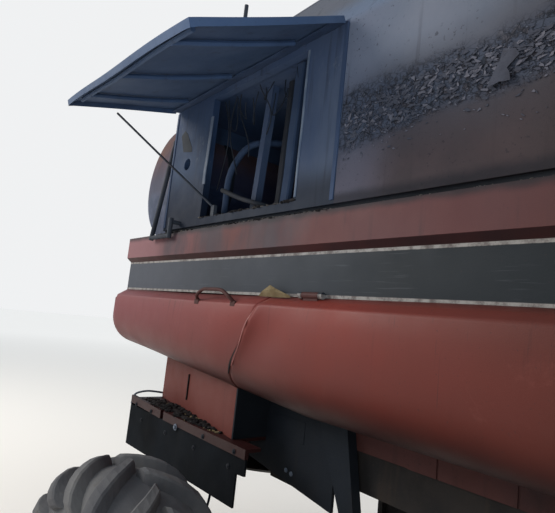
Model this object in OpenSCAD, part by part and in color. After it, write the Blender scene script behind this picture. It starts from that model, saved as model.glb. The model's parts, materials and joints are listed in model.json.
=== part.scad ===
// Rotary combine harvester, burnt out, with folded unloading auger and no header.
// The machine faces -Y, its right side is -X, and +Z is up. Lengths along the machine are
// counted from the front axle, rearwards positive, and in_frame() centres them on the origin.

/* [Running gear] */
// Distance between the front and rear axles
wheelbase = 3500; // [3400:10:3520]
// Distance between the middles of the front tyres
front_track = 3000; // [2960:10:3100]
// Radius of a front tyre over its lugs
front_tyre_r = 910; // [880:5:915]
// Width of a front tyre
front_tyre_w = 775; // [700:5:790]
// Distance between the middles of the rear tyres
rear_track = 3440; // [3400:10:3560]
// Radius of a rear tyre over its lugs
rear_tyre_r = 650; // [620:5:670]
// Width of a rear tyre
rear_tyre_w = 380; // [340:5:400]
// Height of the lugs on the tyres
lug_h = 42; // [30:1:55]
// Distance of a kingpin inwards from the middle of its tyre
kingpin_offset = 200; // [180:5:220]

/* [Body] */
// Half the width over the black stripe, at the grain tank side too
stripe_x = 1250; // [1220:5:1280]
// How far the red band above the stripe stands out from it
band_proud = 30; // [15:1:40]
// Half the width over the bulge of the lower shields
shield_x = 1318; // [1300:2:1340]
// Rearmost face of the tail hood
tail_y = 4950; // [4900:10:5050]
// Front end of the side bands, behind the cab
band_front_y = 380; // [360:5:420]
// Height of the deck, which is the top of the red band
deck_z = 2285; // [2270:5:2300]
// Height of the top of the lower shields
shield_top_z = 1945; // [1930:5:1960]
// Lowest edge of the shield doors
shield_low_z = 1495; // [1480:5:1520]
// Lowest edge of the tail hood at its rear end
tail_low_z = 1610; // [1560:5:1660]
// Radius of the rolled-under lower edge of the shields
shield_roll_r = 180; // [140:5:200]
// Sheet thickness of shields, hood and chute with their returns
shell_t = 12; // [8:1:16]
// Half the width of the separator body between the front wheels
body_x = 1000; // [980:5:1010]
// Lower edge of the separator body
body_low_z = 1380; // [1360:5:1400]

/* [Grain tank and engine bay] */
// Height of the fold where the tank leans in, also the service door hinge
fold_z = 3085; // [3050:5:3120]
// Top rim of the grain tank
tank_top_z = 3550; // [3450:10:3600]
// Lean of the tank's upper part inwards, over its height
tank_lean = 267; // [200:5:300]
// Front edge of the engine bay, which is the rear wall of the tank
bay_front_y = 3090; // [3070:5:3110]
// Rear edge of the engine bay
bay_rear_y = 4530; // [4500:5:4560]
// Length of the service door from its hinge to its free edge
service_door_len = 730; // [690:5:740]
// How far the propped service door hangs below level, in degrees
service_door_droop = 21; // [16:1:24]
// Radius of the fuel tank
fuel_tank_r = 385; // [340:5:395]
// Length of the fuel tank
fuel_tank_len = 1300; // [1100:10:1400]

/* [Cab] */
// Half the width of the cab
cab_x = 850; // [800:5:880]
// Height of the underside of the cab
cab_floor_z = 1985; // [1975:5:2000]
// Height of the top of the cab body, under its roof
cab_top_z = 3330; // [3250:10:3400]
// Foremost reach of the cab at its top
cab_front_y = -1150; // [-1250:10:-1100]
// Rear face of the cab
cab_rear_y = 330; // [300:5:340]
// Thickness of the cab's posts and walls
cab_wall = 60; // [45:1:80]

/* [Feeder] */
// Half the width of the feeder house
feeder_x = 575; // [520:5:590]
// Distance of the feeder's front face ahead of the front axle
feeder_reach = 2150; // [2050:10:2250]
// Height of the feeder's lower lip as parked
feeder_low_z = 370; // [340:5:420]
// Height of the feeder's top edge at its front face
feeder_top_z = 1130; // [1100:5:1160]
// Outer radius of the lift cylinders' barrels
lift_barrel_r = 55; // [48:1:60]

/* [Unloading auger] */
// Radius of the unloading tube
auger_r = 150; // [130:5:165]
// Reach of the unloading tube behind its pivot
auger_len = 4550; // [4200:50:4600]
// Height of the middle of the folded tube
auger_z = 3000; // [2960:10:3060]

/* [Hidden] */
$fn = 48;
// Running clearance of pins and shafts in their bores, all round
run_c = 0.05;
// Clearance between flat faces that slide past each other
face_c = 0.3;
// Gap round panels that move
panel_gap = 8;
eps = 1;

// Places along the machine
front_axle_z = front_tyre_r;
rear_axle_z = rear_tyre_r;
rear_reach_y = 4740 + fuel_tank_r;
mid_y = (rear_reach_y - feeder_reach) / 2;

// Side bands
band_x = stripe_x + band_proud;
band_low_z = 2155;
band_bevel = 25;
band_back_x = stripe_x - 15;
deck_t = 30;
tank_low_z = deck_z + 30;

// Shields and hood: where their outer section starts and how it runs
shield_split_top_y = 3400;
shield_split_low_y = 3650;
shield_front_y = front_tyre_r + 50;
shield_rise_y = 3180;
lip_x = 1030;

// Feeder pivot and lift cylinder pins, as [y, z]
feeder_pivot = [60, 1560];
feeder_round_r = 290;
lift_base = [-150, 560];
lift_eye = [-1150, 690];
lift_x = 420;
lift_pin_r = 22;

// Rear axle
kingpin_x = rear_track / 2 - kingpin_offset;
kingpin_r = 35;
steer_arm_y = 250;

// Rims
front_rim_r = 406;
rear_rim_r = 305;
front_hub_x = 1400;
front_spindle_r = 70;
rear_spindle_r = 40;
rear_disc_x = rear_track / 2 - 10;

// Colours as they show on the burnt machine
red = [0.53, 0.32, 0.32];
dark_red = [0.35, 0.24, 0.25];
soot = [0.22, 0.24, 0.28];
burnt_panel = [0.30, 0.29, 0.31];
black = [0.14, 0.16, 0.18];
steel = [0.45, 0.45, 0.46];
rust = [0.43, 0.33, 0.30];
tyre_grey = [0.22, 0.22, 0.22];
glass_grey = [0.55, 0.62, 0.66];

// Puts a piece drawn from the front axle into the object's own frame
module in_frame() translate([0, -mid_y, 0]) children();

// Draws a piece of the left side, or its mirror image on the right
module on_side(s) {
    if (s > 0) children();
    else mirror([1, 0, 0]) children();
}

// Box between two corners
module box(lo, hi) translate(lo) cube(hi - lo);

// Outline of [x, z] carried along Y
module along_y(y0, y1) translate([0, y1, 0]) rotate([90, 0, 0]) linear_extrude(y1 - y0) children();

// Outline of [y, z] carried along X
module along_x(x0, x1) translate([x0, 0, 0]) rotate([90, 0, 90]) linear_extrude(x1 - x0) children();

// Round bar between two points
module bar(p, q, r) {
    d = q - p;
    l = norm(d);
    translate(p) rotate([0, acos(d[2] / l), atan2(d[1], d[0])]) cylinder(h = l, r = r);
}

// Cylinder along X, from x0 to x1 at [y, z]
module rod_x(x0, x1, c, r) translate([x0, c[0], c[1]]) rotate([0, 90, 0]) cylinder(h = x1 - x0, r = r);

// Cylinder along Y, from y0 to y1 at [x, z]
module rod_y(y0, y1, c, r) translate([c[0], y1, c[1]]) rotate([90, 0, 0]) cylinder(h = y1 - y0, r = r);

// Middle of a list of points, and the normal that the ring through them turns about
function middle(ring) = [for (k = [0:2]) [for (p = ring) p[k]] * [for (p = ring) 1] / len(ring)];
function ring_normal(ring) = let (n = len(ring),
    crosses = [for (j = [0:n - 1]) cross(ring[j], ring[(j + 1) % n])])
    middle(crosses);

// Closed surface through rings of equal, even count, which may run either way round. Each end is closed by
// strips from the ring's first half to its second, so a thin folded section can be closed too. Faces of the
// second half are split the other way, so both sides of a twisted sheet bend alike
module skin(rings) {
    n = len(rings[0]);
    m = len(rings);
    outwards = ring_normal(rings[0]) * (middle(rings[m - 1]) - middle(rings[0])) < 0;
    points = [for (ring = rings) each (outwards ? ring : [for (j = [n - 1:-1:0]) ring[j]])];
    sides = [for (i = [0:m - 2], j = [0:n - 1])
        let (a = i * n + j, b = i * n + (j + 1) % n, c = a + n, d = b + n)
        each j < n / 2 ? [[a, b, c], [b, d, c]] : [[a, b, d], [a, d, c]]];
    ends = [for (j = [0:n / 2 - 2]) each [[j, n - 1 - j, j + 1], [j + 1, n - 1 - j, n - 2 - j]]];
    far_ends = [for (f = ends) [for (j = [2:-1:0]) (m - 1) * n + f[j]]];
    polyhedron(points, concat(sides, ends, far_ends), convexity = 4);
}

// Hinge along Y: pin with its two end lugs, and the eye that turns on it
hinge_len = 90;
hinge_pin_r = 7;
hinge_eye_r = 13;
module hinge_eye_y(y, c) difference() {
    rod_y(y - hinge_len / 2, y + hinge_len / 2, c, hinge_eye_r);
    rod_y(y - hinge_len, y + hinge_len, c, hinge_pin_r + run_c);
}
module hinge_pin_y(y, c) {
    rod_y(y - hinge_len / 2 - 20, y + hinge_len / 2 + 20, c, hinge_pin_r);
    for (s = [-1, 1]) rod_y(y + s * (hinge_len / 2 + 12) - 10, y + s * (hinge_len / 2 + 12) + 10, c,
        hinge_eye_r);
}

// Frame under the separator with the two front columns and the rear axle's hangers
rail_in_x = 880;
rail_w = 100;
rail_top_z = body_low_z;
rail_h = 150;
rail_rear_y = wheelbase + 112;
column_y = 140;
hanger_z = 860;
module chassis_frame() color(soot) in_frame() {
    for (s = [-1, 1]) on_side(s) {
        box([rail_in_x, column_y, rail_top_z - rail_h], [rail_in_x + rail_w, rail_rear_y, rail_top_z]);
        difference() {
            box([rail_in_x, -column_y, axle_top_z], [rail_in_x + rail_w, column_y, cab_floor_z - 60]);
            rod_x(rail_in_x - eps, rail_in_x + rail_w + eps, feeder_pivot, feeder_pin_r + run_c);
        }
    }
    box([-rail_in_x, -column_y, feeder_pivot[1] + feeder_round_r + 20], [rail_in_x, 0, cab_floor_z - 60]);
    for (y = [wheelbase - 110, rail_rear_y - 60])
        box([-rail_in_x, y, rail_top_z - rail_h], [rail_in_x, y + 60, rail_top_z]);
    box([-rail_in_x - rail_w, wheelbase - 110, rail_top_z - rail_h - 100],
        [rail_in_x + rail_w, rail_rear_y, rail_top_z - rail_h]);
    for (y = [wheelbase - 110, wheelbase + 80])
        difference() {
            box([-160, y, hanger_z - 90], [160, y + 30, rail_top_z - rail_h - 100]);
            rod_y(y - eps, y + 30 + eps, [0, hanger_z], axle_pivot_r + 0.5);
        }
}

// Front axle beam, final drives and the lift cylinders' lower lugs
axle_h = 280;
axle_top_z = front_axle_z + axle_h / 2;
feeder_pin_r = 45;
module front_axle() color(soot) in_frame() {
    box([-body_x, -column_y, front_axle_z - axle_h / 2], [body_x, column_y, axle_top_z]);
    for (s = [-1, 1]) on_side(s) {
        rod_x(body_x, front_hub_x - 70, [0, front_axle_z], 205);
        rod_x(front_hub_x - 70, front_hub_x - face_c, [0, front_axle_z], 160);
        rod_x(front_hub_x - 70, front_hub_x + 60, [0, front_axle_z], front_spindle_r);
        for (x = [lift_x - 75, lift_x + 45]) lift_lug(x, x + 30);
        rod_x(lift_x - 75, lift_x + 75, lift_base, lift_pin_r);
    }
}

// Lug plate under the axle beam that holds a cylinder's base pin
module lift_lug(x0, x1) along_x(x0, x1) {
    translate(lift_base) circle(r = 55);
    polygon([[lift_base[0] - 55, lift_base[1]], [lift_base[0] + 55, lift_base[1]],
             [0, front_axle_z - axle_h / 2], [-column_y, front_axle_z - axle_h / 2]]);
}

// Threshing and separating body between the sides; behind its outer panel the side is set back
panel_rear_y = 2900;
panel_corner_r = 60;
recess_x = body_x - 8;
recess_top_z = 1560;
body_front_y = column_y + 20;
body_rear_y = rail_rear_y + 10;
seam_w = 8;
seam_ys = [900, 1700, 2460, 2730];
module separator_body() color(dark_red) in_frame() difference() {
    union() {
        box([-body_x, band_front_y, body_low_z], [body_x, body_rear_y, deck_z - deck_t]);
        box([-body_x, body_front_y, body_low_z], [body_x, band_front_y + eps, cab_floor_z - 60]);
    }
    rod_x(-feeder_x - 15, feeder_x + 15, feeder_pivot, feeder_round_r + 10);
    for (s = [-1, 1]) on_side(s) {
        for (y = seam_ys) box([body_x - 5, y, body_low_z - eps],
            [body_x + eps, y + seam_w, deck_z - deck_t + eps]);
        along_x(recess_x, body_x + eps) difference() {
            polygon([[panel_rear_y - panel_corner_r, body_low_z - eps],
                [body_rear_y + eps, body_low_z - eps],
                     [body_rear_y + eps, recess_top_z], [panel_rear_y - panel_corner_r, recess_top_z]]);
            translate([panel_rear_y - panel_corner_r, body_low_z + panel_corner_r])
                circle(r = panel_corner_r);
            translate([panel_rear_y - panel_corner_r - eps, body_low_z + panel_corner_r])
                square([panel_corner_r + eps, recess_top_z]);
        }
    }
}

// Sieve box under the body, with the two cross auger troughs in its floor
shoe_x = 780;
shoe_low_z = 1020;
shoe_front_y = 700;
shoe_rear_y = wheelbase - 290;
trough_r = 110;
trough_ys = [1350, 2150];
module cleaning_shoe() color(soot) in_frame() {
    along_x(-shoe_x, shoe_x)
        polygon([[shoe_front_y, body_low_z], [shoe_rear_y, body_low_z], [shoe_rear_y, body_low_z - 150],
                 [shoe_rear_y - 650, shoe_low_z + 60], [trough_ys[1] + 150, shoe_low_z],
                 [trough_ys[0] - 150, shoe_low_z], [shoe_front_y, shoe_low_z + 200]]);
    for (y = trough_ys) rod_x(-shoe_x, shoe_x, [y, shoe_low_z], trough_r);
}

// Deck over the body, with the raised curb that carries the tank and bay sides
curb_x = stripe_x - 15;
module deck() color(soot) in_frame() {
    box([-band_back_x, band_front_y, deck_z - deck_t], [band_back_x, tail_y, deck_z]);
    for (s = [-1, 1]) on_side(s)
        box([curb_x - 40, band_front_y, deck_z], [curb_x, bay_rear_y, tank_low_z]);
}

// Outline of the upper band with the recessed stripe under it, as [x, z]
module fascia_outline() polygon([
    [band_x, deck_z], [band_x, band_low_z], [stripe_x, band_low_z - band_bevel],
    [stripe_x, shield_top_z + 5], [band_back_x, shield_top_z + 5], [band_back_x, deck_z]
]);
module fascia(s) on_side(s) {
    along_y(band_front_y, tail_y) fascia_outline();
    for (y = shield_hinge_ys) {
        hinge_pin_y(y, shield_hinge);
        for (e = [-1, 1]) translate([0, y + e * (hinge_len / 2 + 12), 0])
            box([stripe_x - 5, -10, shield_top_z + 8], [shield_hinge[0], 10, shield_top_z + 20]);
    }
}
module fascia_right() color(red) in_frame() fascia(-1);
module fascia_left() color(red) in_frame() fascia(1);

// Lower edge of the shields and hood at a place along the machine
function low_z(y) = y < shield_rise_y ? shield_low_z
    : shield_low_z + (tail_low_z - shield_low_z) * (y - shield_rise_y) / (tail_y - shield_rise_y);

// Slanted joint between shield door and tail hood at a height
function split_y(z) = shield_split_top_y + (shield_split_low_y - shield_split_top_y)
    * (shield_top_z - z) / (shield_top_z - shield_low_z);

// Section of a shield as [x, z] from its top over the bulge to its inner lip, moved in by a wall
function shield_line(low, in) = let (
        x = shield_x - in,
        r = shield_roll_r - in,
        c = [shield_x - shield_roll_r, low + shield_roll_r]
    ) concat(
        [[stripe_x - in, shield_top_z - in / 3], [x - 8, shield_top_z - 40 - in / 3],
            [x, shield_top_z - 145]],
        [for (a = [0:15:90]) [c[0] + r * cos(a), c[1] - r * sin(a)]],
        [[lip_x, low + in]]
    );
function shield_section(low) = let (inner = shield_line(low, shell_t))
    concat(shield_line(low, 0), [for (i = [len(inner) - 1:-1:0]) inner[i]]);

// Section standing square across the machine, and the one cut along the slanted joint plus a gap, where
// each point is found on the straight strip that it ends
function square_ring(y) = [for (p = shield_section(low_z(y))) [p[0], y, p[1]]];
function joint_ring(gap) = let (fore = square_ring(shield_rise_y), aft = square_ring(tail_y))
    [for (i = [0:len(fore) - 1]) let (
        miss_fore = fore[i][1] - split_y(fore[i][2]) - gap,
        miss_aft = aft[i][1] - split_y(aft[i][2]) - gap
    ) fore[i] + (aft[i] - fore[i]) * miss_fore / (miss_fore - miss_aft)];

// Hinged lower shields, from behind the front tyre to the slanted joint
shield_hinge = [stripe_x + 14, shield_top_z + 12];
shield_hinge_ys = [1200, 2200, 3150];
module shield(s) on_side(s) {
    skin([square_ring(shield_front_y), square_ring(shield_rise_y), joint_ring(-panel_gap)]);
    for (y = shield_hinge_ys) {
        hinge_eye_y(y, shield_hinge);
        box([shield_hinge[0] - 4, y - 40, shield_top_z - 24],
            [shield_hinge[0] + 4, y + 40, shield_hinge[1] - 10]);
    }
}
module shield_left() color(red) in_frame() shield(1);
module shield_right() color(red) in_frame() shield(-1);

// Tail hood: fixed lower sides with their grab handles, and the rear wall
handle_x = shield_x + 8;
handle_r = 9;
module tail_hood() color(red) in_frame() {
    for (s = [-1, 1]) on_side(s)
        skin([joint_ring(0), square_ring(tail_y - shell_t)]);
    for (s = [-1, 1]) on_side(s) {
        // y of the foot, y of the bar's end
        ends = [[3602, 3684], [3918, 3968]];
        for (e = ends) bar([handle_x - 34, e[0], shield_top_z - 38],
            [handle_x, e[1], shield_top_z + 18], handle_r);
        bar([handle_x, ends[0][1] - handle_r, shield_top_z + 18],
            [handle_x, ends[1][1] + handle_r, shield_top_z + 18], handle_r);
    }
    along_y(tail_y - shell_t, tail_y) {
        polygon(concat(
            [[band_back_x, deck_z - deck_t], [band_back_x, shield_top_z]],
            shield_line(tail_low_z, 0),
            [for (i = [len(shield_line(tail_low_z, 0)) - 1:-1:0])
                let (p = shield_line(tail_low_z, 0)[i]) [-p[0], p[1]]],
            [[-band_back_x, shield_top_z], [-band_back_x, deck_z - deck_t]]
        ));
    }
}

// Discharge chute under the tail: sides that close in rearwards, front and rear walls
chute_front_y = 3650;
chute_rear_y = 4640;
chute_front_x = 1200;
chute_rear_x = 1045;
chute_low_z = 1300;
module discharge_chute() color(dark_red) in_frame() {
    for (s = [-1, 1]) on_side(s) skin([
        for (e = [[chute_front_y, chute_front_x], [chute_rear_y, chute_rear_x]])
            [[e[1] - shell_t, e[0], chute_low_z], [e[1], e[0], chute_low_z],
             [e[1], e[0], low_z(e[0]) - face_c], [e[1] - shell_t, e[0], low_z(e[0]) - face_c]]
    ]);
    box([-chute_rear_x, chute_rear_y, chute_low_z],
        [chute_rear_x, chute_rear_y + shell_t, low_z(chute_rear_y) - face_c]);
}

// Spreader frame: ledge round the chute's foot, with its cross bearer
ledge_x = 1227;
ledge_front_y = 3480;
ledge_rear_y = 4660;
ledge_t = 15;
ledge_in_x = 1160;
flange_h = 42;
module spreader_frame() color(red) in_frame() {
    difference() {
        box([-ledge_x, ledge_front_y, chute_low_z - ledge_t], [ledge_x, ledge_rear_y, chute_low_z]);
        box([-chute_rear_x + 60, chute_front_y + 30, chute_low_z - ledge_t - eps],
            [chute_rear_x - 60, chute_rear_y - 60, chute_low_z + eps]);
        box([-ledge_in_x, ledge_front_y - eps, chute_low_z - ledge_t - eps],
            [ledge_in_x, chute_front_y - 9, chute_low_z + eps]);
    }
    // y from, y to, height lifted at the rear end
    for (s = [-1, 1], f = [[ledge_front_y, 4235, 0], [4270, ledge_rear_y, 14]]) on_side(s)
        along_x(ledge_x - 4, ledge_x + curtain_t + 6) polygon([
            [f[0], chute_low_z - flange_h], [f[1], chute_low_z - flange_h + f[2]],
            [f[1], chute_low_z + f[2]], [f[0], chute_low_z]
        ]);
    box([-ledge_x + 30, spreader_y - 50, chute_low_z - ledge_t - 90],
        [ledge_x - 30, spreader_y + 50, chute_low_z - ledge_t]);
    for (s = [-1, 1]) translate([s * spreader_x, spreader_y, spreader_z + 60])
        cylinder(h = chute_low_z - ledge_t - 90 - spreader_z - 60, r = 70);
    for (s = [-1, 1]) translate([s * spreader_x, spreader_y, spreader_z - 30])
        cylinder(h = 100, r = spreader_shaft_r);
}

// Rubber curtain hung round the spreader frame
curtain_t = 10;
curtain_low_z = 1030;
module spreader_curtain() color(black) in_frame() {
    top_z = chute_low_z - flange_h - face_c;
    for (s = [-1, 1]) on_side(s) along_x(ledge_x, ledge_x + curtain_t) polygon([
        [ledge_front_y, top_z], [ledge_front_y, curtain_low_z + 160],
            [ledge_front_y + 60, curtain_low_z + 155],
        [ledge_front_y + 60, curtain_low_z + 15], [ledge_rear_y, curtain_low_z], [ledge_rear_y, top_z]
    ]);
    box([-ledge_x - curtain_t, ledge_rear_y, curtain_low_z],
        [ledge_x + curtain_t, ledge_rear_y + curtain_t, chute_low_z - 2]);
}

// Spreader discs with their bats
spreader_x = 560;
spreader_y = 4150;
spreader_z = 1080;
spreader_r = 480;
spreader_shaft_r = 22;
module spreader_disc(s) translate([s * spreader_x, spreader_y, 0]) difference() {
    union() {
        translate([0, 0, spreader_z]) cylinder(h = 10, r = spreader_r);
        translate([0, 0, spreader_z]) cylinder(h = 60 - face_c, r = 60);
        for (a = [0:60:300]) rotate(a) box([100, -5, spreader_z + 10],
            [spreader_r - 10, 5, spreader_z + 60]);
    }
    translate([0, 0, spreader_z - eps]) cylinder(h = 100, r = spreader_shaft_r + run_c);
}
module spreader_disc_left() color(soot) in_frame() spreader_disc(1);
module spreader_disc_right() color(soot) in_frame() spreader_disc(-1);

// Dark side sheets below the body at the rear, the slanted braces and the chute's front walls
sheet_front_y = 3190;
sheet_rear_y = 3760;
sheet_t = 16;
module side_sheets() color(black) in_frame() for (s = [-1, 1]) on_side(s) {
    along_x(recess_x, recess_x + sheet_t)
        polygon([[sheet_front_y, 1112], [sheet_rear_y, 1186], [sheet_rear_y, chute_low_z - ledge_t - 5],
                 [chute_front_y - 10, chute_low_z - ledge_t - 5], [chute_front_y - 10, 1500],
                     [sheet_front_y, 1500]]);
    along_x(recess_x, body_x + 40)
        polygon([[3035, 1100], [3100, 1100], [3268, 1474], [3112, 1474]]);
    box([recess_x, chute_front_y - 10, chute_low_z],
        [chute_front_x, chute_front_y - face_c, low_z(chute_front_y) - 2]);
}

// Grain tank: upright sides, upper part leaning in, open top, floor that falls to the cross auger
tank_wall = 30;
tank_lean_y = 200;
tank_floor_x = 300;
tank_floor_y = [1300, 2200];
tank_slope_h = 250;
function tank_ring(x, y0, y1, z) = [[-x, y0, z], [x, y0, z], [x, y1, z], [-x, y1, z]];
module grain_tank() color(burnt_panel) in_frame() difference() {
    x = stripe_x;
    y0 = band_front_y;
    y1 = bay_front_y;
    w = tank_wall;
    skin([
        tank_ring(x, y0, y1, tank_low_z),
        tank_ring(x, y0, y1, fold_z),
        tank_ring(x - tank_lean, y0 + tank_lean_y, y1 - tank_lean_y, tank_top_z)
    ]);
    skin([
        tank_ring(tank_floor_x, tank_floor_y[0], tank_floor_y[1], tank_low_z + w),
        tank_ring(x - w, y0 + w, y1 - w, tank_low_z + tank_slope_h),
        tank_ring(x - w, y0 + w, y1 - w, fold_z),
        tank_ring(x - w - tank_lean, y0 + w + tank_lean_y, y1 - w - tank_lean_y, tank_top_z + eps)
    ]);
}

// Engine bay sides: right side with front pillar, opening and holed rear pillar; left with its screen frame
bay_t = 40;
bay_open = [bay_front_y + 240, bay_rear_y - 425];
bay_post_ys = [bay_front_y + 390, bay_front_y + 730];
bay_sill_z = tank_low_z + 40;
bay_head_z = fold_z - 45;
pillar_hole_r = 35;
screen_c = [(bay_open[0] + bay_open[1]) / 2, (bay_sill_z + bay_head_z) / 2];
screen_r = 310;
screen_bars = 9;

// Round grille in the left side, bars both ways
module screen() {
    pitch = 2 * screen_r / (screen_bars + 1);
    for (i = [1:screen_bars]) let (d = -screen_r + i * pitch,
        half = sqrt(screen_r * screen_r - d * d) + 2) {
        box([stripe_x - 24, screen_c[0] + d - 4, screen_c[1] - half],
            [stripe_x - 16, screen_c[0] + d + 4, screen_c[1] + half]);
        box([stripe_x - 24, screen_c[0] - half, screen_c[1] + d - 4],
            [stripe_x - 16, screen_c[0] + half, screen_c[1] + d + 4]);
    }
}
module engine_bay() color(soot) in_frame() {
    for (s = [-1, 1]) on_side(s) difference() {
        box([stripe_x - bay_t, bay_front_y, tank_low_z], [stripe_x, bay_rear_y, fold_z - bay_roof_t]);
        if (s < 0) {
            box([stripe_x - bay_t - eps, bay_open[0], bay_sill_z],
                [stripe_x + eps, bay_open[1], bay_head_z]);
            rod_x(stripe_x - bay_t - eps, stripe_x + eps, [bay_rear_y - 200, 2700], pillar_hole_r);
        } else rod_x(stripe_x - bay_t - eps, stripe_x + eps, screen_c, screen_r);
    }
    screen();
    for (y = bay_post_ys) along_x(-1120, -1080)
        polygon([[y - 20, deck_z], [y + 20, deck_z], [y - 40, fold_z - bay_roof_t],
            [y - 80, fold_z - bay_roof_t]]);
}

// Roof over the engine bay, with the hinge of the service door
bay_roof_t = 25;
module engine_roof() color(soot) in_frame() {
    box([-stripe_x, bay_front_y, fold_z - bay_roof_t], [stripe_x, bay_rear_y, fold_z]);
    for (y = service_hinge_ys) {
        hinge_pin_y(y, service_hinge);
        for (s = [-1, 1])
            box([service_hinge[0] - 2, y + s * (hinge_len / 2 + 12) - 10, fold_z - 15],
                [-stripe_x, y + s * (hinge_len / 2 + 12) + 10, fold_z]);
    }
}

// Service door, held out over the opening
service_hinge = [-stripe_x - 18, fold_z + 8];
service_hinge_ys = [for (k = [-1:1]) (bay_front_y + bay_rear_y) / 2 + 510 * k];
service_door_t = 28;
service_door_sheet_t = 6;
door_front_y = bay_front_y + 5;
door_rear_y = bay_rear_y - 5;

// The door is twisted: its front end hangs lower and reaches further than its rear end. A section at y runs
// along [reach, depth] points of the door, turned down by the droop there
function door_share(y) = (y - door_front_y) / (door_rear_y - door_front_y) - 0.5;
function door_len(y) = service_door_len - 90 * door_share(y);
function door_section(y, section) = let (droop = service_door_droop - 11 * door_share(y))
    [for (p = section) [
        service_hinge[0] - p[0] * cos(droop) + p[1] * sin(droop), y,
        service_hinge[1] - p[0] * sin(droop) - p[1] * cos(droop)
    ]];
function pan_section(y) = let (l = door_len(y), t = service_door_t, m = service_door_sheet_t)
    door_section(y, [
    [16, m + 4], [16, 0], [l, 0], [l, t], [l - 25, t], [l - 25, m], [41, m], [41, m + 4]
]);
function edge_section(y) = let (l = door_len(y), t = service_door_t, m = service_door_sheet_t)
    door_section(y, [[30, m - 2], [l - 12, m - 2], [l - 12, t - 2], [30, t - 2]]);
module service_door() color(soot) in_frame() {
    y0 = door_front_y;
    y1 = door_rear_y;
    skin([for (y = [y0, (y0 + y1) / 2, y1]) pan_section(y)]);
    skin([for (y = [y0 + 2, y0 + 22]) edge_section(y)]);
    skin([for (y = [y1 - 22, y1 - 2]) edge_section(y)]);
    for (y = service_hinge_ys) {
        hinge_eye_y(y, service_hinge);
        translate([service_hinge[0], 0, service_hinge[1]])
            rotate([0, -service_door_droop + 11 * door_share(y), 0])
            box([-24, y - 40, -service_door_sheet_t - 2], [-9, y + 40, -1]);
    }
}

// Engine as one block with its sump and covers
module engine_block() color(rust) in_frame() {
    y = bay_front_y + 160;
    box([-420, y, deck_z + 60], [560, y + 750, deck_z + 600]);
    box([-380, y + 80, deck_z], [500, y + 670, deck_z + 60]);
}

// Radiator with its shroud at the left side of the bay
module radiator() color(soot) in_frame() {
    box([950, bay_open[0] + 10, deck_z], [1100, bay_open[1] - 10, deck_z + 700]);
    rod_x(880, 950, [(bay_open[0] + bay_open[1]) / 2, deck_z + 370], 320);
}

// Fuel tank across the tail, on its saddles
fuel_tank_y = 4740;
fuel_tank_z = deck_z + fuel_tank_r + 10;
fuel_tank_x0 = -1170;
dish = 45;
module fuel_tank() color(rust) in_frame() {
    translate([fuel_tank_x0, fuel_tank_y, fuel_tank_z]) rotate([0, 90, 0]) rotate_extrude()
        polygon([[0, 0], [fuel_tank_r * 0.6, dish * 0.3], [fuel_tank_r - 12, dish],
            [fuel_tank_r, dish + 14],
                 [fuel_tank_r, fuel_tank_len - dish - 14], [fuel_tank_r - 12, fuel_tank_len - dish],
                 [fuel_tank_r * 0.6, fuel_tank_len - dish * 0.3], [0, fuel_tank_len]]);
    for (x = [fuel_tank_x0 + 250, fuel_tank_x0 + fuel_tank_len - 250]) difference() {
        box([x - 30, fuel_tank_y - 200, deck_z], [x + 30, fuel_tank_y + 200, fuel_tank_z - 200]);
        rod_x(x - 30 - eps, x + 30 + eps, [fuel_tank_y, fuel_tank_z], fuel_tank_r);
    }
}

// Exhaust stack and air intake on the bay roof
module exhaust_stack() color(rust) in_frame() {
    translate([250, bay_front_y + 510, fold_z]) {
        cylinder(h = 60, r = 130);
        translate([0, 0, 60]) cylinder(h = 260, r = 110);
        translate([0, 0, 320]) cylinder(h = 140, r = 45);
    }
    translate([-500, bay_front_y + 410, fold_z]) {
        cylinder(h = 120, r = 70);
        translate([0, 0, 120]) cylinder(h = 160, r = 130);
    }
}

// Grab rail at the bay's rear edge, deck rail and the service door's prop
rail_r = 14;
rail_x = band_x + rail_r + 12;
rail_foot_z = deck_z - 22;
pole_x = 25 - stripe_x;
pole_y = 3930;
pole_top_z = 3545;
prop_head = [-1648, 4480, 2915];
prop_foot = [-1230, 4000, 2405];
module handrails() color(soot) in_frame() {
    rail_ys = [bay_rear_y + 30, bay_rear_y - 200];
    bar([-stripe_x + 20, rail_ys[0], 2900], [-rail_x, rail_ys[0], rail_foot_z - rail_r], rail_r);
    bar([-rail_x, rail_ys[0], rail_foot_z], [-rail_x, rail_ys[1], rail_foot_z], rail_r - 1);
    bar([-rail_x, rail_ys[1], rail_foot_z - rail_r], [-rail_x, rail_ys[1], tank_low_z + 50], rail_r);
    bar([-rail_x, rail_ys[1], tank_low_z + 30], [-stripe_x, rail_ys[1], tank_low_z + 30], rail_r - 2);
    bar([-stripe_x + 20, rail_ys[0], 2885], [-stripe_x + 20, bay_rear_y, 2885], rail_r - 2);
    bar([pole_x, pole_y, fold_z], [pole_x, pole_y, pole_top_z], rail_r - 3);
    bar(prop_head, prop_foot, 6);
    box(prop_foot - [10, 15, prop_foot[2] - bay_sill_z], prop_foot + [10, 15, 12]);
    for (x = [300, 1180]) bar([x, tail_y - 60, deck_z], [x, tail_y - 60, deck_z + 900], rail_r + 3);
    bar([300, tail_y - 60, deck_z + 900], [1180, tail_y - 60, deck_z + 900], rail_r + 3);
}

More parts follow.
